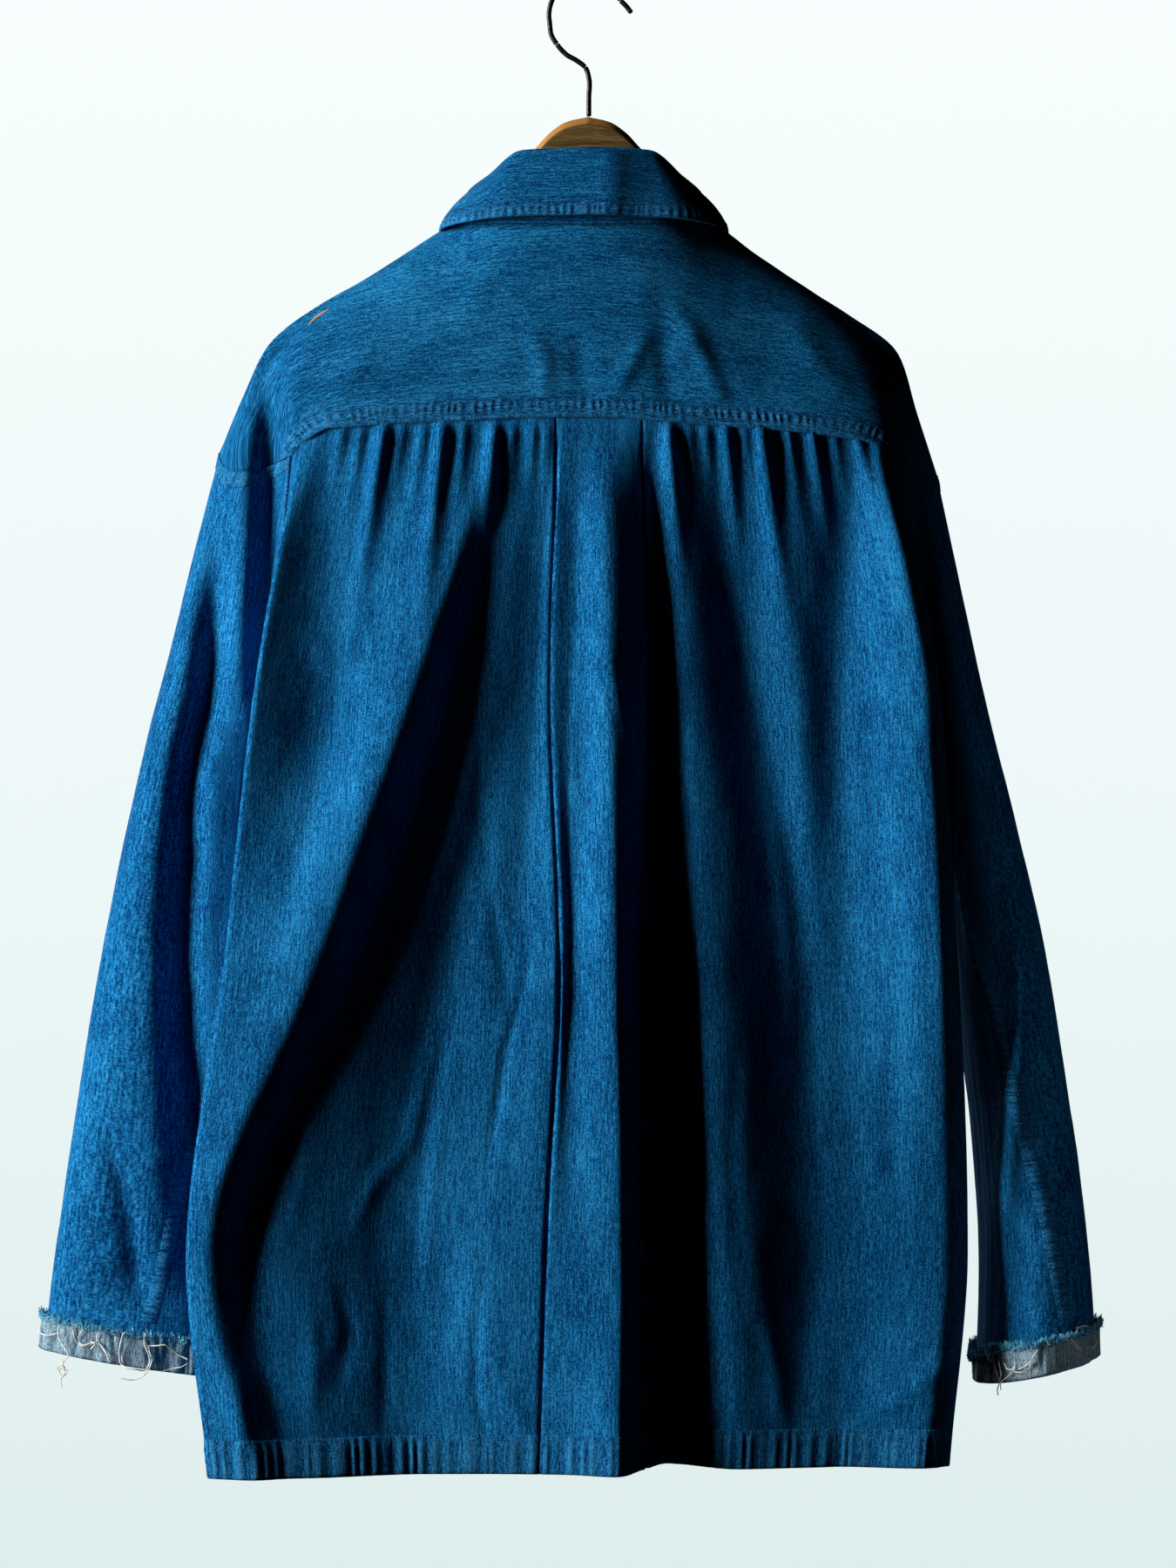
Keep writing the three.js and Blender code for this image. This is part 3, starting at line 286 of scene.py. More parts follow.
def through_rows(stations, values, places):
    """Smooth values at one place per row, between that row's stations, never past its neighbours."""
    stations = np.asarray(stations, float)
    values = np.asarray(values, float)
    places = np.asarray(places, float)
    if stations[0, -1] < stations[0, 0]:
        stations, values = stations[:, ::-1], values[:, ::-1]
    at = np.clip(places, stations[:, 0], stations[:, -1])
    last = stations.shape[1] - 1
    k = np.clip((stations <= at[:, None]).sum(1) - 1, 0, last - 1)
    rise = np.diff(values, axis=1) / np.diff(stations, axis=1)
    before, after = rise[:, :-1], rise[:, 1:]
    same = before * after > 0
    inner = np.where(same, 2 * before * after / np.where(same, before + after, 1), 0)
    slope = np.concatenate([rise[:, :1], inner, rise[:, -1:]], axis=1)

    def pick(table, column):
        return np.take_along_axis(table, column[:, None], 1)[:, 0]

    start = pick(stations, k)
    span = pick(stations, k + 1) - start
    t = (at - start) / span
    return hermite(t, span, pick(values, k), pick(values, k + 1), pick(slope, k), pick(slope, k + 1))


def through(stations, values, places):
    """The same with one set of stations. Values may have several columns."""
    values = np.asarray(values, float)
    places = np.asarray(places, float)
    flat = places.ravel()
    if values.ndim == 2:
        return np.stack([through(stations, values[:, c], places) for c in range(values.shape[1])], -1)
    found = through_rows(rows_of(stations, len(flat)), rows_of(values, len(flat)), flat)
    return found.reshape(places.shape)


def mix(a, b, share):
    return a + (b - a) * share


def fade_out(share):
    share = np.clip(share, 0, 1)
    return 1 - share * share * (3 - 2 * share)


def side_sign(side):
    return 1 if side == "left" else -1


def unit(vectors):
    return vectors / np.maximum(np.linalg.norm(vectors, axis=-1, keepdims=True), 1e-9)


def noise(u, v, seed):
    """Smooth noise between -1 and 1, with a step of one along u and v."""
    table = np.random.default_rng(seed).uniform(-1, 1, (64, 64))
    iu, iv = np.floor(u).astype(int), np.floor(v).astype(int)
    fu, fv = u - iu, v - iv
    fu, fv = fu * fu * (3 - 2 * fu), fv * fv * (3 - 2 * fv)
    a, b = table[iu % 64, iv % 64], table[(iu + 1) % 64, iv % 64]
    c, d = table[iu % 64, (iv + 1) % 64], table[(iu + 1) % 64, (iv + 1) % 64]
    return mix(mix(a, b, fu), mix(c, d, fu), fv)


def grid_normals(points, around=False):
    if around:
        across = np.roll(points, -1, 1) - np.roll(points, 1, 1)
    else:
        across = np.gradient(points, axis=1)
    down = np.gradient(points, axis=0)
    return unit(np.cross(down, across))


def lengths_down(points):
    """Distance walked down each column of a grid."""
    step = np.linalg.norm(np.diff(points, axis=0), axis=-1)
    return np.concatenate([np.zeros((1, points.shape[1])), np.cumsum(step, 0)])


def run_along(line):
    """Distance walked along a line at each of its points."""
    return np.concatenate([[0], np.cumsum(np.linalg.norm(np.diff(line, axis=0), axis=-1))])


def points_at(places, run, line):
    """Points of a line at places along its run."""
    return np.stack([np.interp(places, run, line[:, axis]) for axis in range(3)], -1)


def level_steps(marks, counts):
    """Levels from the first mark to the last, with a count of its own between each pair."""
    parts = [np.linspace(low, high, count)[:-1] for low, high, count in zip(marks, marks[1:], counts)]
    return np.concatenate([*parts, [marks[-1]]])


def smooth_grid(points, rows, columns, around=False):
    """A finer grid through the same points."""
    count = points.shape[1]
    if around:
        wide = np.concatenate([points[:, -2:], points, points[:, :3]], 1)
        at = np.linspace(0, count, columns, endpoint=False) + 2
    else:
        wide = points
        at = np.linspace(0, count - 1, columns)
    across = np.stack([through(np.arange(wide.shape[1]), row, at) for row in wide])
    if rows == points.shape[0]:
        return across
    flat = across.reshape(points.shape[0], -1)
    down = through(np.arange(points.shape[0]), flat, np.linspace(0, points.shape[0] - 1, rows))
    return down.reshape(rows, columns, 3)


# The body
def side_seam(side, z, facing):
    row = SIDE_SEAM[side]
    underarm = mix(CORNER_Z, HEM_Z, UNDERARM_SHARE)
    down = np.clip((CORNER_Z - z) / (CORNER_Z - underarm), 0, 1)
    opening = ARMHOLE_HALF_DEPTH * (1 - down * down)
    x = side_sign(side) * through(HEIGHTS, row["x"], z)
    return np.stack([x, through(HEIGHTS, row["y"], z) + facing * opening, z], -1)


# Columns across the back: of the field on each side of the pleat, and of the pleat's strip
FIELD_COLUMNS = 84
STRIP_COLUMNS = 34


def back_columns():
    """Zone and share of every column across the back."""
    columns = [("seam left", 0), ("return left", 0.5), ("return left", 1)]
    columns += [("field left", k / FIELD_COLUMNS) for k in range(FIELD_COLUMNS)]
    columns += [("beside pleat left", 0), ("under pleat left", 0)]
    columns += [("strip", k / STRIP_COLUMNS) for k in range(STRIP_COLUMNS + 1)]
    columns += [("under pleat right", 0), ("beside pleat right", 0)]
    columns += [("field right", k / FIELD_COLUMNS) for k in range(1, FIELD_COLUMNS + 1)]
    columns += [("return right", 1), ("return right", 0.5), ("seam right", 0)]
    return columns


BACK_COLUMNS = back_columns()


def gather_wave(x, z):
    """Gathers that start just under the yoke seam and fade as they fall."""
    fall = np.maximum(YOKE_SEAM["z"][4] - z, 0)
    wave = np.zeros_like(x)
    for place, strength, length in zip(*GATHERS.values()):
        spread = place * (1 + 0.0012 * fall)
        half = 1.8 + 1.6 * strength + 0.02 * fall
        wave += strength * np.exp(-((x - spread) / half) ** 2) * fade_out(fall / length)
    onset = 1 - fade_out(fall / 14)
    return GATHER_DEPTH * (1.5 * wave - 0.5 * fade_out(fall / 110)) * onset


def back_points(zone, share, z):
    """Points of one column of the back at heights z."""
    xs = np.stack([through(HEIGHTS, BACK_FOLDS[name]["x"], z) for name in FOLD_NAMES], 1)
    ys = np.stack([through(HEIGHTS, BACK_FOLDS[name]["y"], z) for name in FOLD_NAMES], 1)

    def place(name):
        return xs[:, FOLD_NAMES.index(name)]

    def depth(x):
        return through_rows(xs, ys, x)
    side = "left" if zone.endswith("left") else "right"
    outward = side_sign(side)
    edge = place(f"{side} edge")
    pleat = place(f"pleat {side} edge")
    under = through(HEIGHTS, PLEAT[side]["under"], z)
    drop = through(HEIGHTS, PLEAT[side]["drop"], z)
    if zone.startswith("seam"):
        return side_seam(side, z, 1)
    if zone.startswith("return"):
        seam = side_seam(side, z, 1)
        bulge = math.sin(math.pi / 2 * share)
        x = mix(seam[:, 0], edge, 0.2 * share)
        return np.stack([x, mix(seam[:, 1], depth(edge), 0.6 * bulge), z], -1)
    if zone.startswith("beside"):
        x = pleat + outward * 1.5
        return np.stack([x, depth(x) - drop, z], -1)
    if zone.startswith("under"):
        return np.stack([pleat - outward * under, depth(pleat) - drop + 0.6, z], -1)
    ends = {
        "field left": (place("left edge"), place("pleat left edge")),
        "strip": (place("pleat left edge"), place("pleat right edge")),
        "field right": (place("pleat right edge"), place("right edge")),
    }[zone]
    x = mix(ends[0], ends[1], share)
    return np.stack([x, depth(x), z], -1)


def hang(top, form, bottom, levels, settle):
    """Rows that hang from a top edge and settle into a form within a share of their height."""
    columns = []
    for i, start in enumerate(top):
        z = mix(start[2], bottom[i], levels)
        at_top = form(i, np.array([start[2]]))[0]
        points = form(i, z) + (start - at_top) * fade_out(levels / settle)[:, None]
        points[:, 2] = z
        columns.append(points)
    return np.stack(columns, 1)


def yoke_seam_at(x):
    y, z = (through(YOKE_SEAM["x"], YOKE_SEAM[axis], x) for axis in ("y", "z"))
    return np.stack([x, y, z], -1)


def collar_point(curve, q):
    point = through(COLLAR["at"], COLLAR[curve], np.abs(q))
    point[..., 0] *= np.where(q < 0, -COLLAR_RIGHT, 1)
    return point


# The yoke: quarter ellipses from the shoulder line down to each seam
SHOULDER_STEPS = 6
FRONT_ROWS = 4
BACK_ROWS = 7
YOKE_COARSE = 27
YOKE_FINE = 7
YOKE_DOWN = 8
YOKE_RELAXING = 120
YOKE_TOP_X = [178, 174, 156.5, 141, 125.5, 110, 94.5, 79, 63.5, 48, 32.5, 18.5, 10.3, -6.5, -23.2, -31.5,
              -45, -60, -75, -90, -105, -120, -135, -150, -165, -182, -184]


def yoke_grid():
    rows = np.zeros((FRONT_ROWS + BACK_ROWS + 1, YOKE_COARSE, 3))
    for c in range(YOKE_COARSE):
        side = "left" if c < YOKE_COARSE / 2 else "right"
        from_side = min(c, YOKE_COARSE - 1 - c)
        on_shoulder = from_side < SHOULDER_STEPS
        q = SHOULDER_AT * (1 - 2 * (c - SHOULDER_STEPS) / (YOKE_COARSE - 1 - 2 * SHOULDER_STEPS))
        mirror = np.array([side_sign(side), 1, 1])
        back_end = yoke_seam_at(np.array(float(YOKE_TOP_X[c])))
        if on_shoulder:
            ridge = np.array(SHOULDERS[side]["ridge"][from_side]) * mirror
            front_end = np.array(SHOULDERS[side]["front"][from_side]) * mirror
        else:
            ridge = collar_point("neck", np.array(q))
        sag = {0: ARMHOLE_SAG, 1: ARMHOLE_SAG / 3}.get(from_side, 0)
        for r in range(len(rows)):
            in_front = r < FRONT_ROWS
            if in_front and not on_shoulder:
                share = (FRONT_ROWS - r) / FRONT_ROWS
                corner = mix(SHOULDER_AT, FRONT_SEAM_AT, share) * side_sign(side)
                rows[r, c] = collar_point("neck", np.array(corner))
                continue
            end = front_end if in_front else back_end
            turn = abs(r - FRONT_ROWS) / (FRONT_ROWS if in_front else BACK_ROWS) * math.pi / 2
            rows[r, c] = [
                mix(end[0], ridge[0], math.cos(turn)),
                mix(ridge[1], end[1], math.sin(turn)),
                mix(end[2], ridge[2], math.cos(turn)) - sag * math.sin(2 * turn),
            ]
    return rows


def press_tucks(name, points):
    """The dark tucks of a node, on the side that faces the back."""
    moved = points.copy()
    side = name.split("_")[-1]
    middle = YOKE_MIDDLE
    if side in SLEEVES:
        middle = through(SLEEVE_HEIGHTS, SLEEVES[side]["middle"], points[..., 2])
    facing = 1 - fade_out((points[..., 1] - middle) / FACING_DEPTH)
    for tuck in TUCKS:
        if name not in tuck["on"]:
            continue
        top, bottom = tuck["z"][0], tuck["z"][-1]
        down = (top - points[..., 2]) / (top - bottom)
        inside = (down > 0) & (down < 1)
        across = (points[..., 0] - through(tuck["z"], tuck["x"], points[..., 2])) / tuck["half"]
        strength = np.minimum(1, np.sin(math.pi * np.clip(down, 0, 1)) * TUCK_ONSET)
        moved[..., 1] -= np.where(inside, tuck["depth"] * np.exp(-across * across) * strength * facing, 0)
    return moved


def press_creases(name, points, normals):
    """The small creases of a node, along its normals, on the side that faces the back."""
    moved = points.copy()
    for crease in CREASES.get(name, []):
        z = np.array(crease["z"], float)
        x = np.array(crease["x"], float)
        best = np.full(points.shape[:2], 1e9)
        along = np.zeros(points.shape[:2])
        total = np.sum(np.hypot(np.diff(x), np.diff(z)))
        walked = 0
        for k in range(len(x) - 1):
            ax, az, bx, bz = x[k], z[k], x[k + 1], z[k + 1]
            length = math.hypot(bx - ax, bz - az)
            t = ((points[..., 0] - ax) * (bx - ax) + (points[..., 2] - az) * (bz - az)) / length**2
            t = np.clip(t, 0, 1)
            far = np.hypot(points[..., 0] - mix(ax, bx, t), points[..., 2] - mix(az, bz, t))
            nearer = far < best
            best = np.where(nearer, far, best)
            along = np.where(nearer, (walked + t * length) / total, along)
            walked += length
        strength = np.sin(math.pi * np.clip(along, 0.02, 0.98)) ** 0.7
        facing = np.clip(normals[..., 1] * 2, 0, 1)
        lift = crease["out"] * np.exp(-((best / crease["half"]) ** 2)) * strength * facing
        moved += normals * lift[..., None]
    return moved


# Wavelengths along weft and warp, and weight, of the unevenness of worn cloth
RUFFLES = [{"weft": 26, "warp": 60, "weight": 1}, {"weft": 11, "warp": 28, "weight": 0.5},
           {"weft": 5, "warp": 9, "weight": 0.16}]


def ruffle(points, normals, u, v, seed, amount):
    """Small soft unevenness of worn cloth: long across the weft, and finer dents."""
    lift = 0
    for k, row in enumerate(RUFFLES):
        lift = lift + amount * row["weight"] * noise(u / row["weft"], v / row["warp"], seed + k)
    return points + normals * lift[..., None]


# Meshes
def mesh_object(name, points, faces, uvs, finish, wear_and_highlight=None):
    """One mesh from points in millimetres, faces by index and uvs in metres for each corner."""
    mesh = bpy.data.meshes.new(name)
    mesh.from_pydata((np.asarray(points) * MM).tolist(), [], np.asarray(faces).tolist())
    layer = mesh.uv_layers.new(name="cloth")
    layer.data.foreach_set("uv", np.asarray(uvs, np.float32).ravel())
    # This attribute carries the denim's real wear, and on the hanger a painted highlight along its top
    if wear_and_highlight is not None:
        attribute = mesh.attributes.new("wear_and_highlight", "FLOAT", "POINT")
        attribute.data.foreach_set("value", np.asarray(wear_and_highlight, np.float32).ravel())
    mesh.shade_smooth()
    piece = bpy.data.objects.new(name, mesh)
    bpy.context.scene.collection.objects.link(piece)
    mesh.materials.append(finish)
    return piece


def cloth_piece(name, points, finish, uv, around=False, has_cell=None, thickness=CLOTH, wear_and_highlight=None):
    """A shell of cloth on a grid of points. uv is a pair of grids in metres."""
    rows, columns = points.shape[:2]
    r, c = np.meshgrid(np.arange(rows - 1), np.arange(columns if around else columns - 1), indexing="ij")
    if has_cell is not None:
        keep = has_cell(r, c)
        r, c = r[keep], c[keep]
    r, c = r.ravel(), c.ravel()
    after = (c + 1) % columns
    here, below = r * columns, (r + 1) * columns
    faces = np.stack([here + c, below + c, below + after, here + after], 1)
    u, v = uv
    next_uv = c + 1 if around else after
    corners = ((r, c), (r + 1, c), (r + 1, next_uv), (r, next_uv))
    uvs = np.stack([np.stack([u[row, column], v[row, column]], -1) for row, column in corners], 1)
    used = np.unique(faces)
    renumber = np.zeros(rows * columns, int)
    renumber[used] = np.arange(len(used))
    flat_wear_and_highlight = None if wear_and_highlight is None else wear_and_highlight.reshape(-1)[used]
    piece = mesh_object(name, points.reshape(-1, 3)[used], renumber[faces], uvs, finish, flat_wear_and_highlight)
    if thickness:
        wall = piece.modifiers.new("wall", "SOLIDIFY")
        wall.thickness = thickness * MM
        wall.offset = 0
    return piece


def cloth_uv(points, turned=False, around=False):
    """Metres along the weft and the warp. In a turned panel the warp runs across."""
    closed = np.concatenate([points, points[:, :1]], 1) if around else points
    down = lengths_down(closed)
    across = lengths_down(np.swapaxes(closed, 0, 1)).T
    widest = across[np.argmax(across[:, -1])]
    u = np.broadcast_to(widest, down.shape) * MM
    v = down * MM
    return (v, u) if turned else (u, v)


# How far past its last row a strip looks for cloth
STRIP_MARGIN = 6


def strip_beside(points, edge, distances, columns, around=False):
    """Rows at distances from the top or bottom of a grid, and how far along the edge each column is."""
    grid = points[::-1] if edge == "bottom" else points
    far = lengths_down(grid)
    reached = far.min(1) > max(distances) + STRIP_MARGIN
    keep = int(np.argmax(reached)) + 2 if reached[-1] else len(grid)
    grid, far = grid[:keep], far[:keep]
    rows = np.stack([points_at(distances, far[:, c], grid[:, c]) for c in range(grid.shape[1])], 1)
    if around:
        rows = np.concatenate([rows, rows[:, :1]], 1)
    run = run_along(rows[0])
    at = np.linspace(0, run[-1], columns)
    return np.stack([points_at(at, run, row) for row in rows]), at


def outward(strip, towards):
    """Directions out of a strip, turned to the side of towards."""
    normals = unit(np.cross(np.gradient(strip, axis=0), np.gradient(strip, axis=1)))
    flip = np.sign(np.sum(normals * towards, -1, keepdims=True))
    return normals * np.where(flip == 0, 1, flip)


def tube(points, radius, sides=4, taper=0.3):
    """Points and faces of a thread along a line."""
    points = np.asarray(points, float)
    along = unit(np.gradient(points, axis=0))
    guide = np.where(np.abs(along[:, 2:3]) > 0.8, [[1.0, 0, 0]], [[0, 0, 1.0]])
    first = unit(np.cross(along, guide))
    second = np.cross(along, first)
    angle = 2 * math.pi * np.arange(sides) / sides
    thin = np.ones(len(points))
    thin[0] = thin[-1] = taper
    ring = first[:, None] * np.cos(angle)[None, :, None] + second[:, None] * np.sin(angle)[None, :, None]
    verts = points[:, None] + ring * (radius * thin)[:, None, None]
    faces = []
    for k in range(len(points) - 1):
        for s in range(sides):
            n = (s + 1) % sides
            faces.append([k * sides + s, k * sides + n, (k + 1) * sides + n, (k + 1) * sides + s])
    return verts.reshape(-1, 3), np.array(faces)


def merged_tubes(name, lines, radius, finish, sides=4):
    """Threads joined in one mesh. radius is one number, or one for each line."""
    verts, faces, base = [], [], 0
    for line, thick in zip(lines, np.broadcast_to(radius, len(lines))):
        v, f = tube(line, thick, sides)
        verts.append(v)
        faces.append(f + base)
        base += len(v)
    verts, faces = np.concatenate(verts), np.concatenate(faces)
    return mesh_object(name, verts, faces, verts[faces][:, :, [0, 2]] * MM, finish)


# A stitch: from one to the next, its length, its height, and its shape along that length
STITCH_PITCH = 3.4
STITCH_LENGTH = 2.5
STITCH_RISE = 0.35
STITCH_AT = np.array([0, 0.25, 0.75, 1])
STITCH_UP = np.array([0, 1, 1, 0])


def stitch_lines(row, normals):
    """Short raised stitches along a row of points."""
    run = run_along(row)
    lines = []
    for start in np.arange(STITCH_PITCH * 0.3, run[-1] - STITCH_PITCH, STITCH_PITCH):
        at = start + STITCH_AT * STITCH_LENGTH
        out = points_at(at, run, normals)
        lines.append(points_at(at, run, row) + out * (STITCH_UP * STITCH_RISE)[:, None])
    return lines


# Materials
def new_material(name):
    material = bpy.data.materials.new(name)
    material.use_nodes = True
    tree = material.node_tree
    shader = next(node for node in tree.nodes if node.type == "BSDF_PRINCIPLED")
    return material, tree, shader


def link(tree, a, b):
    tree.links.new(a, b)


def feed(tree, socket, value):
    """Sets a socket to a number or a colour, or links an output to it."""
    if isinstance(value, (int, float)):
        socket.default_value = value
    elif isinstance(value, tuple):
        socket.default_value = (*value, 1)
    else:
        link(tree, value, socket)


def math_node(tree, operation, *values, clamp=False):
    node = tree.nodes.new("ShaderNodeMath")
    node.operation = operation
    node.use_clamp = clamp
    for socket, value in zip(node.inputs, values):
        feed(tree, socket, value)
    return node.outputs[0]


def noise_node(tree, vector, scale, detail=2.0, roughness=0.5):
    """Noise with its own scale along each direction of the cloth."""
    mapping = tree.nodes.new("ShaderNodeMapping")
    mapping.inputs["Scale"].default_value = scale
    link(tree, vector, mapping.inputs["Vector"])
    node = tree.nodes.new("ShaderNodeTexNoise")
    node.noise_dimensions = "2D"
    node.inputs["Scale"].default_value = 1.0
    node.inputs["Detail"].default_value = detail
    node.inputs["Roughness"].default_value = roughness
    link(tree, mapping.outputs[0], node.inputs["Vector"])
    return node.outputs[0]


def ramp_node(tree, value, stops):
    node = tree.nodes.new("ShaderNodeValToRGB")
    ramp = node.color_ramp
    while len(ramp.elements) < len(stops):
        ramp.elements.new(0.5)
    for element, (place, colour) in zip(ramp.elements, stops):
        element.position = place
        element.color = (*colour, 1)
    link(tree, value, node.inputs[0])
    return node.outputs[0]


def mix_colour(tree, share, first, second):
    node = tree.nodes.new("ShaderNodeMix")
    node.data_type = "RGBA"
    sockets = [s for s in node.inputs if s.type == "RGBA"]
    factor = next(s for s in node.inputs if s.type == "VALUE")
    for socket, value in ((factor, share), (sockets[0], first), (sockets[1], second)):
        feed(tree, socket, value)
    return next(s for s in node.outputs if s.type == "RGBA")


def place_on_cloth(tree):
    node = tree.nodes.new("ShaderNodeUVMap")
    node.uv_map = "cloth"
    return node.outputs[0]


# Reads the attribute with the denim's wear and the hanger's painted top highlight
def wear_and_highlight_of(tree):
    node = tree.nodes.new("ShaderNodeAttribute")
    node.attribute_name = "wear_and_highlight"
    return node.outputs["Fac"]


def add_bump(tree, shader, height, strength, distance):
    node = tree.nodes.new("ShaderNodeBump")
    node.inputs["Strength"].default_value = strength
    node.inputs["Distance"].default_value = distance
    link(tree, height, node.inputs["Height"])
    link(tree, node.outputs[0], shader.inputs["Normal"])


# Noise of the denim: repeats a metre along weft and warp, and weight
YARN_WEIGHTS = {"streak": 0.62, "fine": 0.60, "speck": 0.85}
CLOUD_WEIGHT = 0.30
FADE_WEIGHT = 0.20


def denim(name, dark, middle, light, worn, contrast=1.0):
    """Warp-faced twill: dark and light warp streaks, weft specks, cloudy fading and worn edges."""
    material, tree, shader = new_material(name)
    place = place_on_cloth(tree)
    yarns = {
        "streak": noise_node(tree, place, (850, 55, 1), 2.0, 0.6),
        "fine": noise_node(tree, place, (1100, 260, 1), 1.0),
        "speck": noise_node(tree, place, (800, 900, 1), 2.0, 0.7),
    }
    layers = [(layer, YARN_WEIGHTS[yarn] * contrast) for yarn, layer in yarns.items()]
    layers.append((noise_node(tree, place, (60, 14, 1), 3.0), CLOUD_WEIGHT))
    layers.append((noise_node(tree, place, (9, 7, 1), 2.0), FADE_WEIGHT))
    total = 0.5
    for layer, weight in layers:
        centred = math_node(tree, "SUBTRACT", layer, 0.5)
        total = math_node(tree, "MULTIPLY_ADD", centred, weight, total)
    colour = ramp_node(tree, total, [(0.24, dark), (0.5, middle), (0.78, light)])
    rubbed = math_node(tree, "MULTIPLY", wear_and_highlight_of(tree), yarns["speck"])
    rubbed = math_node(tree, "MULTIPLY", rubbed, 1.5, clamp=True)
    colour = mix_colour(tree, rubbed, colour, worn)
    link(tree, colour, shader.inputs["Base Color"])
    shader.inputs["Roughness"].default_value = 0.88
    shader.inputs["Specular IOR Level"].default_value = 0.03
    shader.inputs["Sheen Weight"].default_value = 0.015
    shader.inputs["Sheen Roughness"].default_value = 0.5
    shader.inputs["Sheen Tint"].default_value = (0.25, 0.55, 0.8, 1)
    add_bump(tree, shader, total, 0.35, 0.00035)
    return material


DENIM = denim("denim", dark=(0.0004, 0.022, 0.080), middle=(0.0030, 0.088, 0.235),
              light=(0.018, 0.215, 0.460), worn=(0.12, 0.36, 0.54))
YOKE_DENIM = denim("yoke_denim", dark=(0.0005, 0.026, 0.082), middle=(0.0036, 0.094, 0.240),
                   light=(0.022, 0.225, 0.450), worn=(0.13, 0.37, 0.52))
REVERSE = denim("denim_reverse", dark=(0.060, 0.125, 0.190), middle=(0.170, 0.275, 0.350),
                light=(0.33, 0.45, 0.51), worn=(0.5, 0.58, 0.6), contrast=1.2)
SEAM_DENIM = denim("seam_denim", dark=(0.0003, 0.017, 0.065), middle=(0.0040, 0.085, 0.230),
                   light=(0.022, 0.215, 0.450), worn=(0.06, 0.32, 0.54), contrast=1.1)


def spotted_material(name, scale, dark, light, detail=2.0):
    """A plain finish with small spots, placed by position. dark and light are (where, colour)."""
    material, tree, shader = new_material(name)
    geometry = tree.nodes.new("ShaderNodeNewGeometry")
    texture = tree.nodes.new("ShaderNodeTexNoise")
    texture.inputs["Scale"].default_value = scale
    texture.inputs["Detail"].default_value = detail
    link(tree, geometry.outputs["Position"], texture.inputs["Vector"])
    link(tree, ramp_node(tree, texture.outputs[0], [dark, light]), shader.inputs["Base Color"])
    return material, tree, shader, texture.outputs[0]


def thread_material(name, dark, light):
    material, _, shader, _ = spotted_material(name, 160, (0.3, dark), (0.7, light))
    shader.inputs["Roughness"].default_value = 0.8
    shader.inputs["Specular IOR Level"].default_value = 0.2
    return material


def wood_material():
    material, tree, shader = new_material("hanger_wood")
    place = place_on_cloth(tree)
    grain = noise_node(tree, place, (22, 420, 1), 4.0, 0.6)
    pores = noise_node(tree, place, (120, 1800, 1), 1.0)
    total = math_node(tree, "MULTIPLY_ADD", pores, 0.35, grain)
    colour = ramp_node(tree, total, [(0.45, (0.046, 0.024, 0.006)), (0.68, (0.130, 0.078, 0.022)),
                                     (0.90, (0.250, 0.150, 0.050))])
    # The top chamfer is made lighter by a painted highlight, standing in for light falling on the hanger's
    # top
    colour = mix_colour(tree, wear_and_highlight_of(tree), colour, (0.50, 0.23, 0.055))
    link(tree, colour, shader.inputs["Base Color"])
    shader.inputs["Roughness"].default_value = 0.42
    shader.inputs["Coat Weight"].default_value = 0.25
    add_bump(tree, shader, total, 0.35, 0.0004)
    return material


def wire_material():
    dark, light = (0.3, (0.012, 0.012, 0.014)), (0.75, (0.055, 0.054, 0.056))
    material, tree, shader, spots = spotted_material("hook_wire", 420, dark, light)
    link(tree, math_node(tree, "MULTIPLY_ADD", spots, 0.3, 0.2), shader.inputs["Roughness"])
    shader.inputs["Metallic"].default_value = 0.85
    return material


def button_material():
    dark, light = (0.3, (0.012, 0.015, 0.022)), (0.75, (0.045, 0.050, 0.060))
    material, _, shader, _ = spotted_material("button", 260, dark, light, detail=3.0)
    shader.inputs["Roughness"].default_value = 0.32
    return material


STITCH = thread_material("stitch_thread", (0.010, 0.055, 0.120), (0.05, 0.19, 0.33))
FRAY = thread_material("fray_thread", (0.020, 0.215, 0.400), (0.200, 0.640, 0.820))
LOOSE = thread_material("loose_thread", (0.55, 0.52, 0.44), (0.86, 0.84, 0.78))
WOOD = wood_material()
WIRE = wire_material()
BUTTON = button_material()


def finish_piece(piece, slot, *nodes):
    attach(piece, "root")
    if nodes:
        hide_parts(*nodes)
    return piece
# Yoke
yoke_coarse = yoke_grid()
yoke_rows = (yoke_coarse.shape[0] - 1) * YOKE_DOWN + 1
yoke_columns = (YOKE_COARSE - 1) * YOKE_FINE + 1
yoke_plain = smooth_grid(yoke_coarse, yoke_rows, yoke_columns)
relaxed = yoke_plain[FRONT_ROWS * YOKE_DOWN:].copy()
for _ in range(YOKE_RELAXING):
    around = relaxed[:-2, 1:-1] + relaxed[2:, 1:-1] + relaxed[1:-1, :-2] + relaxed[1:-1, 2:]
    relaxed[1:-1, 1:-1] = mix(relaxed[1:-1, 1:-1], around / 4, 0.9)
yoke_plain[FRONT_ROWS * YOKE_DOWN:] = relaxed
yoke_pressed = press_tucks("yoke", yoke_plain)
yoke_normals = grid_normals(yoke_pressed)
yoke_up = lengths_down(yoke_pressed[::-1])[::-1]
yoke_u = yoke_pressed[..., 0] * MM
yoke_v = (yoke_up + (CORNER_Z - yoke_pressed[-1, :, 2])) * MM
yoke_fine = press_creases("yoke", yoke_pressed, yoke_normals)
yoke_fine = ruffle(yoke_fine, yoke_normals, yoke_u / MM, yoke_v / MM, seed=21, amount=0.35)


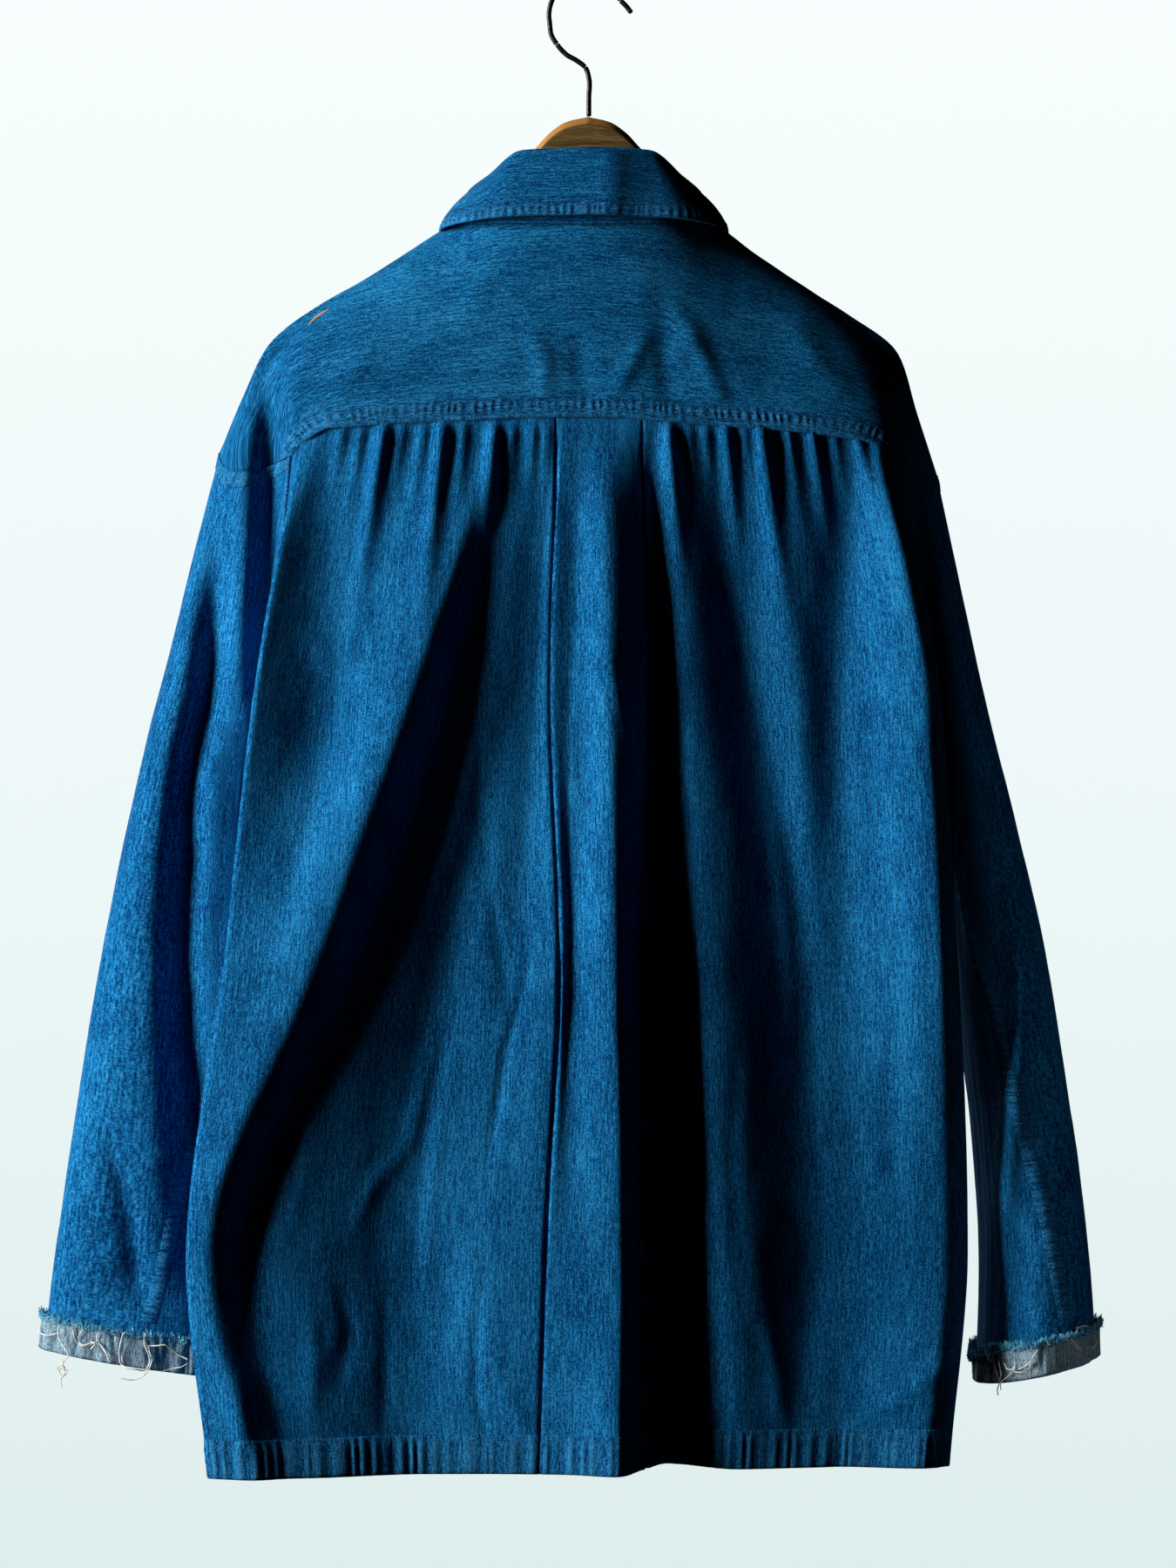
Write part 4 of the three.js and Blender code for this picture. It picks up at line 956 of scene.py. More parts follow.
def yoke_has_cell(r, c):
    beside = np.minimum(c, yoke_columns - 2 - c) < SHOULDER_STEPS * YOKE_FINE
    return (r >= FRONT_ROWS * YOKE_DOWN) | beside


yoke_piece = cloth_piece("yoke_cloth", yoke_fine, YOKE_DENIM, (yoke_v, yoke_u), has_cell=yoke_has_cell)
finish_piece(yoke_piece, "denim", "yoke")

# Back: where each zone of columns starts and ends across its top
BACK_TOP = {
    "seam left": (178, 178), "return left": (174, 174), "field left": (172, 17),
    "beside pleat left": (20, 20), "under pleat left": (18.5, 18.5), "strip": (17, -30),
    "under pleat right": (-31.5, -31.5), "beside pleat right": (-33, -33), "field right": (-30, -180),
    "return right": (-182, -182), "seam right": (-184, -184),
}
yoke_bottom = yoke_plain[-1][np.argsort(yoke_plain[-1][:, 0])]
back_top_x = np.array([mix(*BACK_TOP[zone], share) for zone, share in BACK_COLUMNS], float)
back_top = points_at(back_top_x, yoke_bottom[:, 0], yoke_bottom)
back_top[:, 0] = back_top_x


def back_column(i, z):
    return back_points(*BACK_COLUMNS[i], z)


def in_field(zone, share):
    """How far a column is from the ends of its field, up to 1."""
    return min(12 * min(share, 1 - share), 1) if zone.startswith("field") else 0


back_levels = level_steps([0, 0.12, 0.955, 1], [46, 134, 16])
back_plain = hang(back_top, back_column, np.full(len(back_top), HEM_Z), back_levels, 0.12)
gathered = np.array([in_field(zone, share) for zone, share in BACK_COLUMNS])
back_plain[..., 1] += gather_wave(back_plain[..., 0], back_plain[..., 2]) * gathered
back_normals = grid_normals(back_plain)
back_uv = cloth_uv(back_plain)
back_fine = press_creases("back", back_plain, back_normals)
back_fine = ruffle(back_fine, back_normals, back_uv[0] / MM, back_uv[1] / MM, seed=3, amount=0.45)
back_piece = cloth_piece("back_cloth", back_fine, DENIM, back_uv)
finish_piece(back_piece, "denim", "back")


# Fronts
def front_points(side, step, z):
    """Points of one column of a front at heights z. step counts the fold lines from the centre."""
    seam = side_seam(side, z, -1)
    widen = side_sign(side) * (1 if side == "left" else RIGHT_FRONT_WIDEN)
    xs = [widen * through(HEIGHTS, fold["x"], z) for fold in FRONT_FOLDS.values()] + [seam[:, 0]]
    ys = [through(HEIGHTS, fold["y"], z) for fold in FRONT_FOLDS.values()] + [seam[:, 1]]
    lines = rows_of(range(len(xs)), len(z))
    at = np.full(len(z), float(step))
    x, y = (through_rows(lines, np.stack(values, 1), at) for values in (xs, ys))
    return np.stack([x, y, z], -1)


FRONT_COLUMNS = 70
front_levels = level_steps([0, 0.955, 1], [130, 8])


def front_grid(side):
    neck_q = side_sign(side) * mix(1, FRONT_SEAM_AT, np.arange(FRONT_ROWS) / FRONT_ROWS)
    last = YOKE_COARSE - 1 - SHOULDER_STEPS
    edge = yoke_coarse[0, SHOULDER_STEPS::-1] if side == "left" else yoke_coarse[0, last:]
    coarse_top = np.concatenate([collar_point("neck", neck_q), edge])
    top = through(np.arange(len(coarse_top)), coarse_top, np.linspace(0, len(coarse_top) - 1, FRONT_COLUMNS))
    steps = np.linspace(0, len(FRONT_FOLDS), FRONT_COLUMNS)

    def column(i, z):
        return front_points(side, steps[i], z)

    rows = hang(top, column, np.full(FRONT_COLUMNS, HEM_Z), front_levels, 0.2)
    return rows if side == "left" else rows[:, ::-1]


front_grids = {side: front_grid(side) for side in ("left", "right")}
for number, (side, grid) in enumerate(front_grids.items()):
    normals = grid_normals(grid)
    uv = cloth_uv(grid)
    seed = 31 + 5 * number
    front_grids[side] = ruffle(grid, normals, uv[0] / MM, uv[1] / MM, seed, amount=0.45)
    finish_piece(cloth_piece(f"front_{side}_cloth", front_grids[side], DENIM, uv), "denim", f"front_{side}")


# Sleeves
RING_AROUND = 132
SLEEVE_ROWS = 142


def armhole_ring(side, yoke):
    """The ring over the shoulder to the back, down to the underarm and up the front, with its angles."""
    z_levels = mix(CORNER_Z, HEM_Z, np.array(RING_LEVELS))
    edge = 0 if side == "left" else -1
    yoke_edge = yoke[:, edge]
    underarm = side_seam(side, np.array([mix(CORNER_Z, HEM_Z, UNDERARM_SHARE)]), 1)[0]
    underarm[0] += side_sign(side) * UNDERARM_GAP
    ring = np.concatenate([
        yoke_edge[FRONT_ROWS:-1],
        side_seam(side, z_levels, 1),
        underarm[None],
        side_seam(side, z_levels, -1)[::-1],
        yoke_edge[1:FRONT_ROWS],
    ])
    count = len(ring)
    marks = [0, BACK_ROWS, BACK_ROWS + len(RING_LEVELS), count - FRONT_ROWS, count]
    places = np.linspace(0, count, RING_AROUND, endpoint=False)
    fine = smooth_grid(ring[None], 1, RING_AROUND, around=True)[0]
    return fine, np.radians(through(marks, [0, 125, 180, 235, 360], places))


def sleeve_points(side, angle, z):
    """Points down a sleeve at one angle: 0 is its outer side and 90 degrees its back."""
    row = SLEEVES[side]
    names = ("outer", "inner", "middle", "half_depth")
    outer, inner, middle, half_depth = (through(SLEEVE_HEIGHTS, row[name], z) for name in names)
    x = side_sign(side) * ((outer + inner) / 2 + (outer - inner) / 2 * math.cos(angle))
    return np.stack([x, middle + half_depth * math.sin(angle), z], -1)


def sleeve_grid(side, ring, angles, levels):
    row = SLEEVES[side]
    bottom = mix(row["cuff_outer"], row["cuff_inner"], (1 - np.cos(angles)) / 2)

    def column(i, z):
        return sleeve_points(side, angles[i], z)

    rows = hang(ring, column, bottom, levels, 0.22)
    return rows if side == "left" else rows[:, ::-1]


sleeve_grids = {}
for number, side in enumerate(("left", "right")):
    name = f"sleeve_{side}"
    ring, angles = armhole_ring(side, yoke_coarse)
    levels = np.linspace(0, 1, SLEEVE_ROWS)
    grid = press_tucks(name, sleeve_grid(side, ring, angles, levels))
    pressed_ring, _ = armhole_ring(side, press_tucks("yoke", yoke_coarse))
    grid[0] = pressed_ring if side == "left" else pressed_ring[::-1]
    normals = grid_normals(grid, around=True)
    uv = cloth_uv(grid, around=True)
    sleeve_uv = (uv[0][:, :-1] / MM, uv[1][:, :-1] / MM)
    grid = press_creases(name, grid, normals)
    calm = 1 - fade_out(levels / 0.05)
    rumple = ruffle(grid, normals, *sleeve_uv, 41 + 5 * number, 0.4)
    grid = mix(grid, rumple, calm[:, None, None])
    sleeve_grids[side] = grid
    finish_piece(cloth_piece(f"{name}_cloth", grid, DENIM, uv, around=True), "denim", name)

# Collar: two low bends across its back, and the roll of its fold
COLLAR_COLUMNS = 230
COLLAR_BENDS = [{"x": -12, "half": 9, "out": 1}, {"x": -38, "half": 15, "out": -0.8}]
BEHIND_NECK = 10
ROLL_RADIUS = 2.0
NECK_RIDGE_OFFSET = (0, 2.0, -0.6)
collar_q = np.linspace(1, -1, COLLAR_COLUMNS)


def away_from_neck(points):
    """Level directions outward from a point in front of the neck."""
    level = np.zeros(points.shape[:-1])
    return unit(np.stack([points[..., 0], points[..., 1] + BEHIND_NECK, level], -1))


def collar_grid(start_curve, end_curve, shares, bow, lift, bend):
    start, end = collar_point(start_curve, collar_q), collar_point(end_curve, collar_q)
    rows = []
    for share in shares:
        point = mix(start, end, share)
        soft = bow * math.sin(math.pi * share) + lift * float(fade_out(share))
        for row in COLLAR_BENDS:
            wave = np.exp(-(((point[:, 0] - row["x"]) / row["half"]) ** 2))
            soft = soft + bend * row["out"] * wave * (point[:, 1] > 0)
        rows.append(point + away_from_neck(point) * soft[:, None])
    return np.stack(rows)


stand = collar_grid("fold", "neck", np.linspace(0.04, 1, 20), bow=0, lift=0, bend=0)
stand_uv = cloth_uv(stand, turned=True)
stand_piece = cloth_piece("collar_stand_cloth", stand, YOKE_DENIM, stand_uv, thickness=COLLAR_CLOTH)
finish_piece(stand_piece, "denim", "collar_stand")
leaf = collar_grid("fold", "edge", np.linspace(0, 1, 56), bow=3, lift=2.6, bend=2.0)
fold_line = collar_point("fold", collar_q)
fold_out = away_from_neck(fold_line)
roll = []
for turn in np.linspace(math.pi * 0.95, math.pi * 0.12, 8):
    out = 0.6 + ROLL_RADIUS * math.cos(turn)
    roll.append(fold_line + fold_out * out + np.array([0, 0, ROLL_RADIUS * math.sin(turn)]))
leaf = np.concatenate([np.stack(roll), leaf[1:]])
leaf_normals = grid_normals(leaf)
leaf_uv = cloth_uv(leaf, turned=True)
leaf = ruffle(leaf, leaf_normals, leaf_uv[1] / MM, leaf_uv[0] / MM, seed=61, amount=0.3)
leaf_piece = cloth_piece("collar_leaf_cloth", leaf, YOKE_DENIM, leaf_uv, thickness=COLLAR_CLOTH)
finish_piece(leaf_piece, "denim", "collar_leaf")

# Placket and buttons
PLACKET_COLUMNS = 24
PLACKET_REACH = 14
placket_x = np.linspace(-PLACKET_WIDTH / 2, PLACKET_WIDTH / 2, PLACKET_COLUMNS)
placket_rows = []
for left, right in zip(front_grids["left"], front_grids["right"]):
    line = np.concatenate([right[-PLACKET_REACH:], left[:PLACKET_REACH]])
    point = points_at(placket_x, line[:, 0], line)
    point[:, 0] = placket_x
    placket_rows.append(point - np.array([0, CLOTH + SEAM_GAP, 0]))
placket = np.stack(placket_rows)
finish_piece(cloth_piece("placket_cloth", placket, DENIM, cloth_uv(placket)), "denim", "placket")

# A four-hole button with a rounded rim and a dished middle: radius and height, and how far out its holes are
BUTTON_PROFILE = [[0.01, 2.0], [2.6, 2.0], [4.6, 1.9], [5.4, 2.3], [6.4, 2.7],
                  [7.1, 2.5], [7.5, 1.6], [7.4, 0.5], [6.9, 0.1], [0.01, 0]]
BUTTON_SIDES = 40
HOLE_AT = 1.4
THREAD_GAP = 0.35
THREAD_BOW = [(1, -1.7), (0.7, -2.5), (0, -2.8), (-0.7, -2.5), (-1, -1.7)]


def button_mesh(name, place):
    angle = 2 * math.pi * np.arange(BUTTON_SIDES) / BUTTON_SIDES
    rings = []
    for radius, height in BUTTON_PROFILE:
        level = np.full(BUTTON_SIDES, -height)
        rings.append(np.stack([radius * np.cos(angle), level, radius * np.sin(angle)], -1))
    ring = np.stack(rings)
    uv = cloth_uv(ring, around=True)
    return cloth_piece(name, ring + np.array(place), BUTTON, uv, around=True, thickness=0)


def thread_crossing(place):
    """Four threads that cross the middle of a button from hole to hole."""
    threads = []
    for x, z in ((HOLE_AT, HOLE_AT), (-HOLE_AT, HOLE_AT)):
        path = np.array([(share * x, y, share * z) for share, y in THREAD_BOW])
        threads += [path + np.array([gap, 0, 0]) + np.array(place) for gap in (0, THREAD_GAP)]
    return threads


button_threads = []
for k in range(BUTTON_COUNT):
    low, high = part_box(f"button_{k + 1}")
    centre = (low + high) / 2 / MM
    place = (centre.x, high.y / MM, centre.z)
    finish_piece(button_mesh(f"button_{k + 1}_disc", place), "buttons", f"button_{k + 1}")
    button_threads += thread_crossing(place)
finish_piece(merged_tubes("button_threads", button_threads, 0.3, STITCH), "denim")

# The ridge of the neck seam under the collar's edge
neck_line = collar_point("neck", np.linspace(0.42, -0.42, 120)) + np.array(NECK_RIDGE_OFFSET)
finish_piece(merged_tubes("neck_seam", [neck_line], 1.0, SEAM_DENIM, sides=8), "denim")

# Seams: raised bands with stitches and puckers. A row of stitches presses a groove this deep and wide
GROOVE_DEPTH = 0.38
GROOVE_HALF = 0.75
WORN_WIDTH = 0.9


def band(name, strip, run, towards, profile, stitch_rows, pucker, seed, warp_along=False, lip=False,
         wear_edge=0.5):
    """A raised band on a strip, and its stitches. profile gives height by distance, pucker its waves."""
    distances = profile["at"]
    normals = outward(strip, towards)
    place = np.linspace(distances[0], distances[-1], len(strip))
    height = np.interp(place, distances, profile["height"])
    for stitch in stitch_rows:
        height = height - GROOVE_DEPTH * np.exp(-(((place - stitch) / GROOVE_HALF) ** 2))
    run_grid = np.broadcast_to(run, strip.shape[:2])
    flat = np.zeros(strip.shape[:2])
    uneven = noise(run_grid / 9, flat + seed, seed)
    angle = 2 * math.pi * (run_grid / pucker["pitch"] + 0.55 * uneven)
    size = pucker["size"] * (0.65 + 0.5 * noise(run_grid / 21, flat + 3, seed + 1))
    reach = np.interp(place, pucker["at"], pucker["share"])[:, None]
    crest = np.cos(angle) * size * reach
    rows = strip + normals * (height[:, None] + crest)[..., None]
    edge_worn = 0.6 * wear_edge * np.exp(-np.abs(place[:, None] - distances[0]) / WORN_WIDTH)
    wear_and_highlight = np.clip(0.34 * np.cos(angle) * reach + edge_worn, 0, 1)
    lines = []
    for stitch in stitch_rows:
        index = int(np.argmin(np.abs(place - stitch)))
        lines += stitch_lines(rows[index], normals[index])
    if lip:
        rim = rows[0] - normals[0] * (height[0] + 0.5)
        rows = np.concatenate([rim[None], rows])
        wear_and_highlight = np.concatenate([wear_and_highlight[:1], wear_and_highlight])
        place = np.concatenate([[0], place])
    along = np.broadcast_to(run, rows.shape[:2]) * MM
    off = place[:, None] * np.ones_like(along) * MM
    uv = (off, along) if warp_along else (along, off)
    finish_piece(cloth_piece(name, rows, SEAM_DENIM, uv, thickness=BAND_CLOTH, wear_and_highlight=wear_and_highlight), "denim")
    return lines


BACKWARD = np.array([0, 1.0, 0])
BAND_ROWS = 17
EDGE_BAND = 12
SEAM_LAP = 1.2
stitches = []
yoke_strip, yoke_run = strip_beside(yoke_fine, "bottom", np.linspace(0, EDGE_BAND, BAND_ROWS), 600)
yoke_strip[0] += unit(yoke_strip[0] - yoke_strip[1]) * SEAM_LAP
stitches += band("yoke_seam_band", yoke_strip, yoke_run, BACKWARD,
                 {"at": [0, 0.8, 8.6, 9.6, 12], "height": [1.25, 1.45, 1.2, 1.05, 0.55]}, (4.2, 8.4),
                 {"pitch": PUCKER_PITCH, "size": 0.4, "at": [0, 3.4, 4.8, 7.8, 9, 12],
                  "share": [0.15, 0.25, 1, 1, 0.35, 0.05]},
                 seed=71, warp_along=True, lip=True)

leaf_strip, leaf_run = strip_beside(leaf, "bottom", np.linspace(0, EDGE_BAND, BAND_ROWS), 620)
stitches += band("collar_edge_band", leaf_strip, leaf_run, away_from_neck(leaf_strip),
                 {"at": [0, 0.8, 5.2, 6.5, 12], "height": [0.9, 1.5, 1.55, 1.2, 0.75]}, (5.2,),
                 {"pitch": PUCKER_PITCH, "size": 0.36, "at": [0, 1, 4.6, 6, 12],
                  "share": [0.3, 0.9, 1, 0.3, 0.0]},
                 seed=73, warp_along=True, lip=True)

HEM_PUCKER = {"pitch": 8.7, "size": 0.75, "at": [0, 3, 14, 19, 23], "share": [0.6, 1, 0.9, 0.7, 0.1]}
HEM_PROFILE = {"at": [0, 1, 19.4, 20.4, 23], "height": [0.8, 1.3, 1.3, 0.9, 0.45]}
HEM_DISTANCES = np.linspace(0, 23, 19)
HEM_STITCH = 19.0
HEMS = {
    "back_hem": {"grid": back_fine, "towards": BACKWARD, "columns": 560, "seed": 75},
    "front_left_hem": {"grid": front_grids["left"], "towards": -BACKWARD, "columns": 210, "seed": 77},
    "front_right_hem": {"grid": front_grids["right"], "towards": -BACKWARD, "columns": 210, "seed": 78},
}
for name, hem in HEMS.items():
    strip, run = strip_beside(hem["grid"], "bottom", HEM_DISTANCES, hem["columns"])
    stitches += band(name, strip, run, hem["towards"], HEM_PROFILE, (HEM_STITCH,), HEM_PUCKER,
                     seed=hem["seed"], lip=True, wear_edge=0.6)
for number, (side, grid) in enumerate(sleeve_grids.items()):
    strip, run = strip_beside(grid, "top", np.linspace(0, 10, 12), 320, around=True)
    stitches += band(f"armhole_{side}_band", strip, run, strip - strip.mean((0, 1)),
                     {"at": [0, 0.8, 8.2, 9, 10], "height": [0.6, 0.9, 0.9, 0.7, 0.4]}, (1.6, 7.8),
                     {"pitch": PUCKER_PITCH, "size": 0.25, "at": [0, 3, 8, 10], "share": [0.5, 1, 1, 0.2]},
                     seed=81 + number, wear_edge=0)

# The felled seam down the back of each sleeve: path across and down
SLEEVE_SEAMS = {
    "left": {"x": [203, 207, 221, 236, 249, 258, 270],
             "z": [-540, -580, -627, -689, -733, -779, -824]},
    "right": {"x": [-224, -231, -247, -257, -263, -277, -291],
              "z": [-540, -580, -629, -678, -701, -751, -826]},
}


def sleeve_seam_strip(side, half_width, count):
    """A strip down the seam's path on a sleeve, and how far down each column is."""
    path = SLEEVE_SEAMS[side]
    offsets = np.linspace(-half_width, half_width, count)
    rows = []
    for ring in sleeve_grids[side]:
        row = np.roll(ring, -int(np.argmin(ring[:, 1])), 0)
        if not path["z"][-1] <= row[:, 2].mean() <= path["z"][0]:
            continue
        gap = row[:, 0] - through(path["z"], path["x"], row[:, 2])
        crossing = [k for k in range(len(row) - 1) if gap[k] * gap[k + 1] <= 0]
        k = max(crossing, key=lambda i: row[i, 1])
        share = gap[k] / (gap[k] - gap[k + 1])
        run = run_along(row)
        rows.append(points_at(mix(run[k], run[k + 1], share) + offsets, run, row))
    strip = np.swapaxes(np.stack(rows), 0, 1)
    run = run_along(strip[count // 2])
    at = np.linspace(0, run[-1], 300)
    return np.stack([through(run, line, at) for line in strip]), at


for number, side in enumerate(sleeve_grids):
    strip, run = sleeve_seam_strip(side, 5, 13)
    stitches += band(f"sleeve_{side}_seam", strip, run, BACKWARD,
                     {"at": [-5, -3.6, -3.2, 3.2, 3.6, 5], "height": [0.35, 0.5, 1.2, 1.2, 0.5, 0.35]},
                     (-2.5, 2.5),
                     {"pitch": 6.1, "size": 0.3, "at": [-5, -2, 2, 5], "share": [0.1, 1, 1, 0.1]},
                     seed=91 + number, wear_edge=0)

# Stitches down the placket
PLACKET_STITCH = 3
for x in (PLACKET_STITCH - PLACKET_WIDTH / 2, PLACKET_WIDTH / 2 - PLACKET_STITCH):
    row = np.stack([points_at(x, line[:, 0], line) for line in placket])
    stitches += stitch_lines(row - np.array([0, CLOTH / 2, 0]), np.broadcast_to(-BACKWARD, row.shape))
finish_piece(merged_tubes("stitching", stitches, 0.32, STITCH, sides=3), "denim")

# Turn-ups: the cloth's pale reverse, with a frayed edge
SHED_ROWS = 26
SLITS = 30
FIBRE_RADIUS = 0.34
THREAD_RADII = (0.5, 0.36, 0.36)
THREAD_OFF = 6.3

def surface_y(side, x):
    """Depth of the cuff's back at a place across."""
    row = SLEEVES[side]
    middle_x = (row["outer"][-1] + row["inner"][-1]) / 2
    half = (row["outer"][-1] - row["inner"][-1]) / 2
    share = np.clip((np.abs(x) - middle_x) / half, -1, 1)
    return row["middle"][-1] + row["half_depth"][-1] * np.sqrt(1 - share * share)


def photo_point(across, down):
    """A point in the plane of the photograph, from its pixel."""
    return (PHOTO_CENTRE - across) * PIXEL, -(down + PHOTO_TOP) * PIXEL
# Loose threads by the pixels they pass, longest first
THREADS = {
    "left": [
        [(142, 1529), (139, 1540), (137, 1552), (139, 1566), (144, 1570), (156, 1572),
         (166, 1573), (172, 1564), (171, 1556), (166, 1544), (166, 1530)],
        [(143, 1529), (141, 1541), (139, 1554), (141, 1564)],
        [(167, 1530), (168, 1542), (172, 1552), (174, 1564), (168, 1576), (158, 1583),
         (148, 1584), (138, 1582)],
        [(166, 1530), (170, 1544), (180, 1545), (189, 1544), (197, 1549), (208, 1557), (216, 1561)],
        [(185, 1575), (199, 1571), (209, 1569), (216, 1565)],
        [(68, 1521), (67, 1529), (60, 1532), (50, 1532), (42, 1527)],
        [(68, 1521), (67, 1533), (73, 1545), (79, 1556)],
        [(84, 1526), (85, 1535), (91, 1544), (99, 1545), (111, 1540)],
        [(96, 1526), (91, 1533), (90, 1540), (96, 1544), (106, 1541)],
        [(113, 1530), (111, 1537), (118, 1547), (123, 1556), (127, 1564)],
        [(79, 1556), (74, 1562), (70, 1568), (75, 1574), (72, 1580), (68, 1574),
         (73, 1569), (74, 1577), (70, 1583), (71, 1593)],
        [(70, 1560), (74, 1570), (77, 1573), (70, 1577), (66, 1571), (71, 1566), (76, 1579)],
        [(104, 1540), (109, 1543), (104, 1549)],
    ],
    "right": [
        [(1227, 1533), (1233, 1541), (1240, 1548), (1248, 1549), (1255, 1545), (1261, 1537), (1262, 1526),
         (1260, 1513)],
        [(1228, 1536), (1236, 1546), (1245, 1551), (1255, 1547), (1260, 1540), (1261, 1530)],
        [(1223, 1537), (1230, 1542), (1238, 1549), (1247, 1549)],
        [(1235, 1525), (1246, 1522), (1253, 1524), (1260, 1522)],
        [(1136, 1560), (1140, 1566), (1144, 1575), (1146, 1583), (1147, 1588), (1145, 1595), (1146, 1602)],
        [(1146, 1563), (1148, 1571), (1149, 1579), (1146, 1587)],
        [(1153, 1565), (1157, 1572), (1162, 1572), (1164, 1568)],
        [(1165, 1563), (1165, 1570), (1161, 1576), (1155, 1582), (1149, 1587), (1149, 1596)],
        [(1182, 1558), (1184, 1565), (1180, 1572), (1175, 1575), (1164, 1575)],
        [(1185, 1562), (1179, 1567), (1169, 1572)],
        [(1192, 1549), (1185, 1559)],
    ],
}


def smooth_line(points, count):
    """A rounded line through points, evenly spaced."""
    points = np.asarray(points, float)
    chord = run_along(points)
    slope = np.gradient(points, chord, axis=0)
    at = np.linspace(0, chord[-1], count)
    k = np.clip(np.searchsorted(chord, at, side="right") - 1, 0, len(chord) - 2)
    span = (chord[k + 1] - chord[k])[:, None]
    t = (at - chord[k])[:, None] / span
    return hermite(t, span, points[k], points[k + 1], slope[k], slope[k + 1])


def turn_up_base(side):
    """The sleeve's own surface under the turn-up, from its upper edge down."""
    ring, angles = armhole_ring(side, yoke_coarse)
    heights = np.linspace(TURN_UP_HEIGHT, 0.0, SHED_ROWS)
    levels = 1 - heights / (CORNER_Z - SLEEVES[side]["cuff_outer"])
    base = smooth_grid(sleeve_grid(side, ring, angles, levels), SHED_ROWS, RING_AROUND * 3, around=True)
    return base, heights / TURN_UP_HEIGHT


def slits_of(draw, run, high):
    """Short narrow dents that run up the turned cloth."""
    slits = np.zeros(high.shape)
    for place in draw.uniform(0, run[0, -1], SLITS):
        wander = draw.uniform(-2.5, 2.5) * high
        strength = draw.uniform(0.5, 1.0)
        middle = draw.uniform(0.1, 0.9)
        reach = strength * fade_out(np.abs(high - middle) / 0.9)
        slits += reach * np.exp(-(((run - place - wander) / 1.0) ** 2))
    return slits


def turn_up_grid(side, number):
    """The turned cloth: down its outside and round its low roll to the inside of the cuff."""
    base, heights = turn_up_base(side)
    normals = grid_normals(base, around=True)
    run = np.broadcast_to(run_along(base[-1]), base.shape[:2])
    high = np.broadcast_to(heights[:, None], base.shape[:2])
    up = high * TURN_UP_HEIGHT
    gathers = 1.1 * noise(run / 9, up / 40, 101 + number) + 0.6 * noise(run / 4.5, up / 25, 103 + number)
    slits = slits_of(np.random.default_rng(SEED + 20 + number), run, high)
    lift = CLOTH + SEAM_GAP + 1.3 + 0.8 * high**2 + 1.3 * gathers - 2.4 * np.minimum(slits, 1)
    outer = base + normals * np.maximum(lift, CLOTH + 0.3)[..., None]
    low_roll = mix(outer[-1], base[-1], 0.35) - np.array([0, 0, 1.0])
    under = base[-1] + normals[-1] * 0.8 - np.array([0, 0, 1.2])
    inside = base[-1] - np.array([0, 0, 0.2])
    return np.concatenate([outer, [low_roll, under, inside]])


def fray_lines(edge, draw):
    """Short bent fibres that stand off the raw edge."""
    middle = np.array([edge[:, 0].mean(), edge[:, 1].mean(), 0])
    out = unit((edge - middle) * np.array([1, 1, 0]))
    along = unit(np.roll(edge, -1, 0) - edge)
    fibres = []
    for k in np.linspace(0, len(edge), FIBRES, endpoint=False).astype(int):
        lean, rise, off = draw.uniform(-1.8, 1.8), draw.uniform(-0.8, 4.2), draw.uniform(0.3, 2.4)
        root = edge[k] - np.array([0, 0, draw.uniform(-0.6, 3.4)]) + out[k] * draw.uniform(0.0, 0.9)
        tip = root + np.array([0, 0, rise]) + out[k] * off + along[k] * lean
        bend = mix(root, tip, 0.5) + out[k] * draw.uniform(0.2, 0.9)
        fibres.append(np.stack([root, bend, tip]))
    return fibres


def thread_line(side, path, k):
    """A loose thread in front of the cuff's back, seen by the camera where the photograph has it."""
    points = []
    for i, (across, down) in enumerate(path):
        x, z = photo_point(across, down)
        hang_free = np.clip((SLEEVES[side]["cuff_inner"] + 6 - z) / 10, 0, 1)
        wave = 1.2 * math.sin(1.7 * i + k) * (1 if 0 < i < len(path) - 1 else 0.2)
        y = surface_y(side, x) + THREAD_OFF + wave
        nearer = 1 - (y + hang_free) / CAMERA_FAR
        points.append([x * nearer, y + hang_free, (z - CENTRE_Z) * nearer + CENTRE_Z])
    return smooth_line(points, 8 * len(points))


for number, side in enumerate(("left", "right")):
    turned = turn_up_grid(side, number)
    uv = cloth_uv(turned, around=True)
    turn_up = cloth_piece(f"turn_up_{side}_cloth", turned, REVERSE, uv, around=True, thickness=TURN_UP_CLOTH)
    finish_piece(turn_up, "denim_reverse", f"turn_up_{side}")
    fibres = fray_lines(turned[0], np.random.default_rng(SEED + number))
    fray = merged_tubes(f"frayed_edge_{side}_threads", fibres, FIBRE_RADIUS, FRAY, sides=3)
    finish_piece(fray, "loose_threads", f"frayed_edge_{side}")
    loose = [thread_line(side, path, k) for k, path in enumerate(THREADS[side])]
    radii = [THREAD_RADII[k % 3] for k in range(len(loose))]
    finish_piece(merged_tubes(f"loose_threads_{side}", loose, radii, LOOSE, sides=6), "loose_threads")

# Hanger
CREST = {"x": [0, 13, 23, 31, 44, 58, 73], "z": [-83, -86, -92.5, -101, -115, -133, -152.5]}
WOOD_HEIGHT = {"at": [0, 30, 80, 140, 182, 200], "height": [58, 45, 30, 26, 21, 9]}
CREST_WIDTH = 80
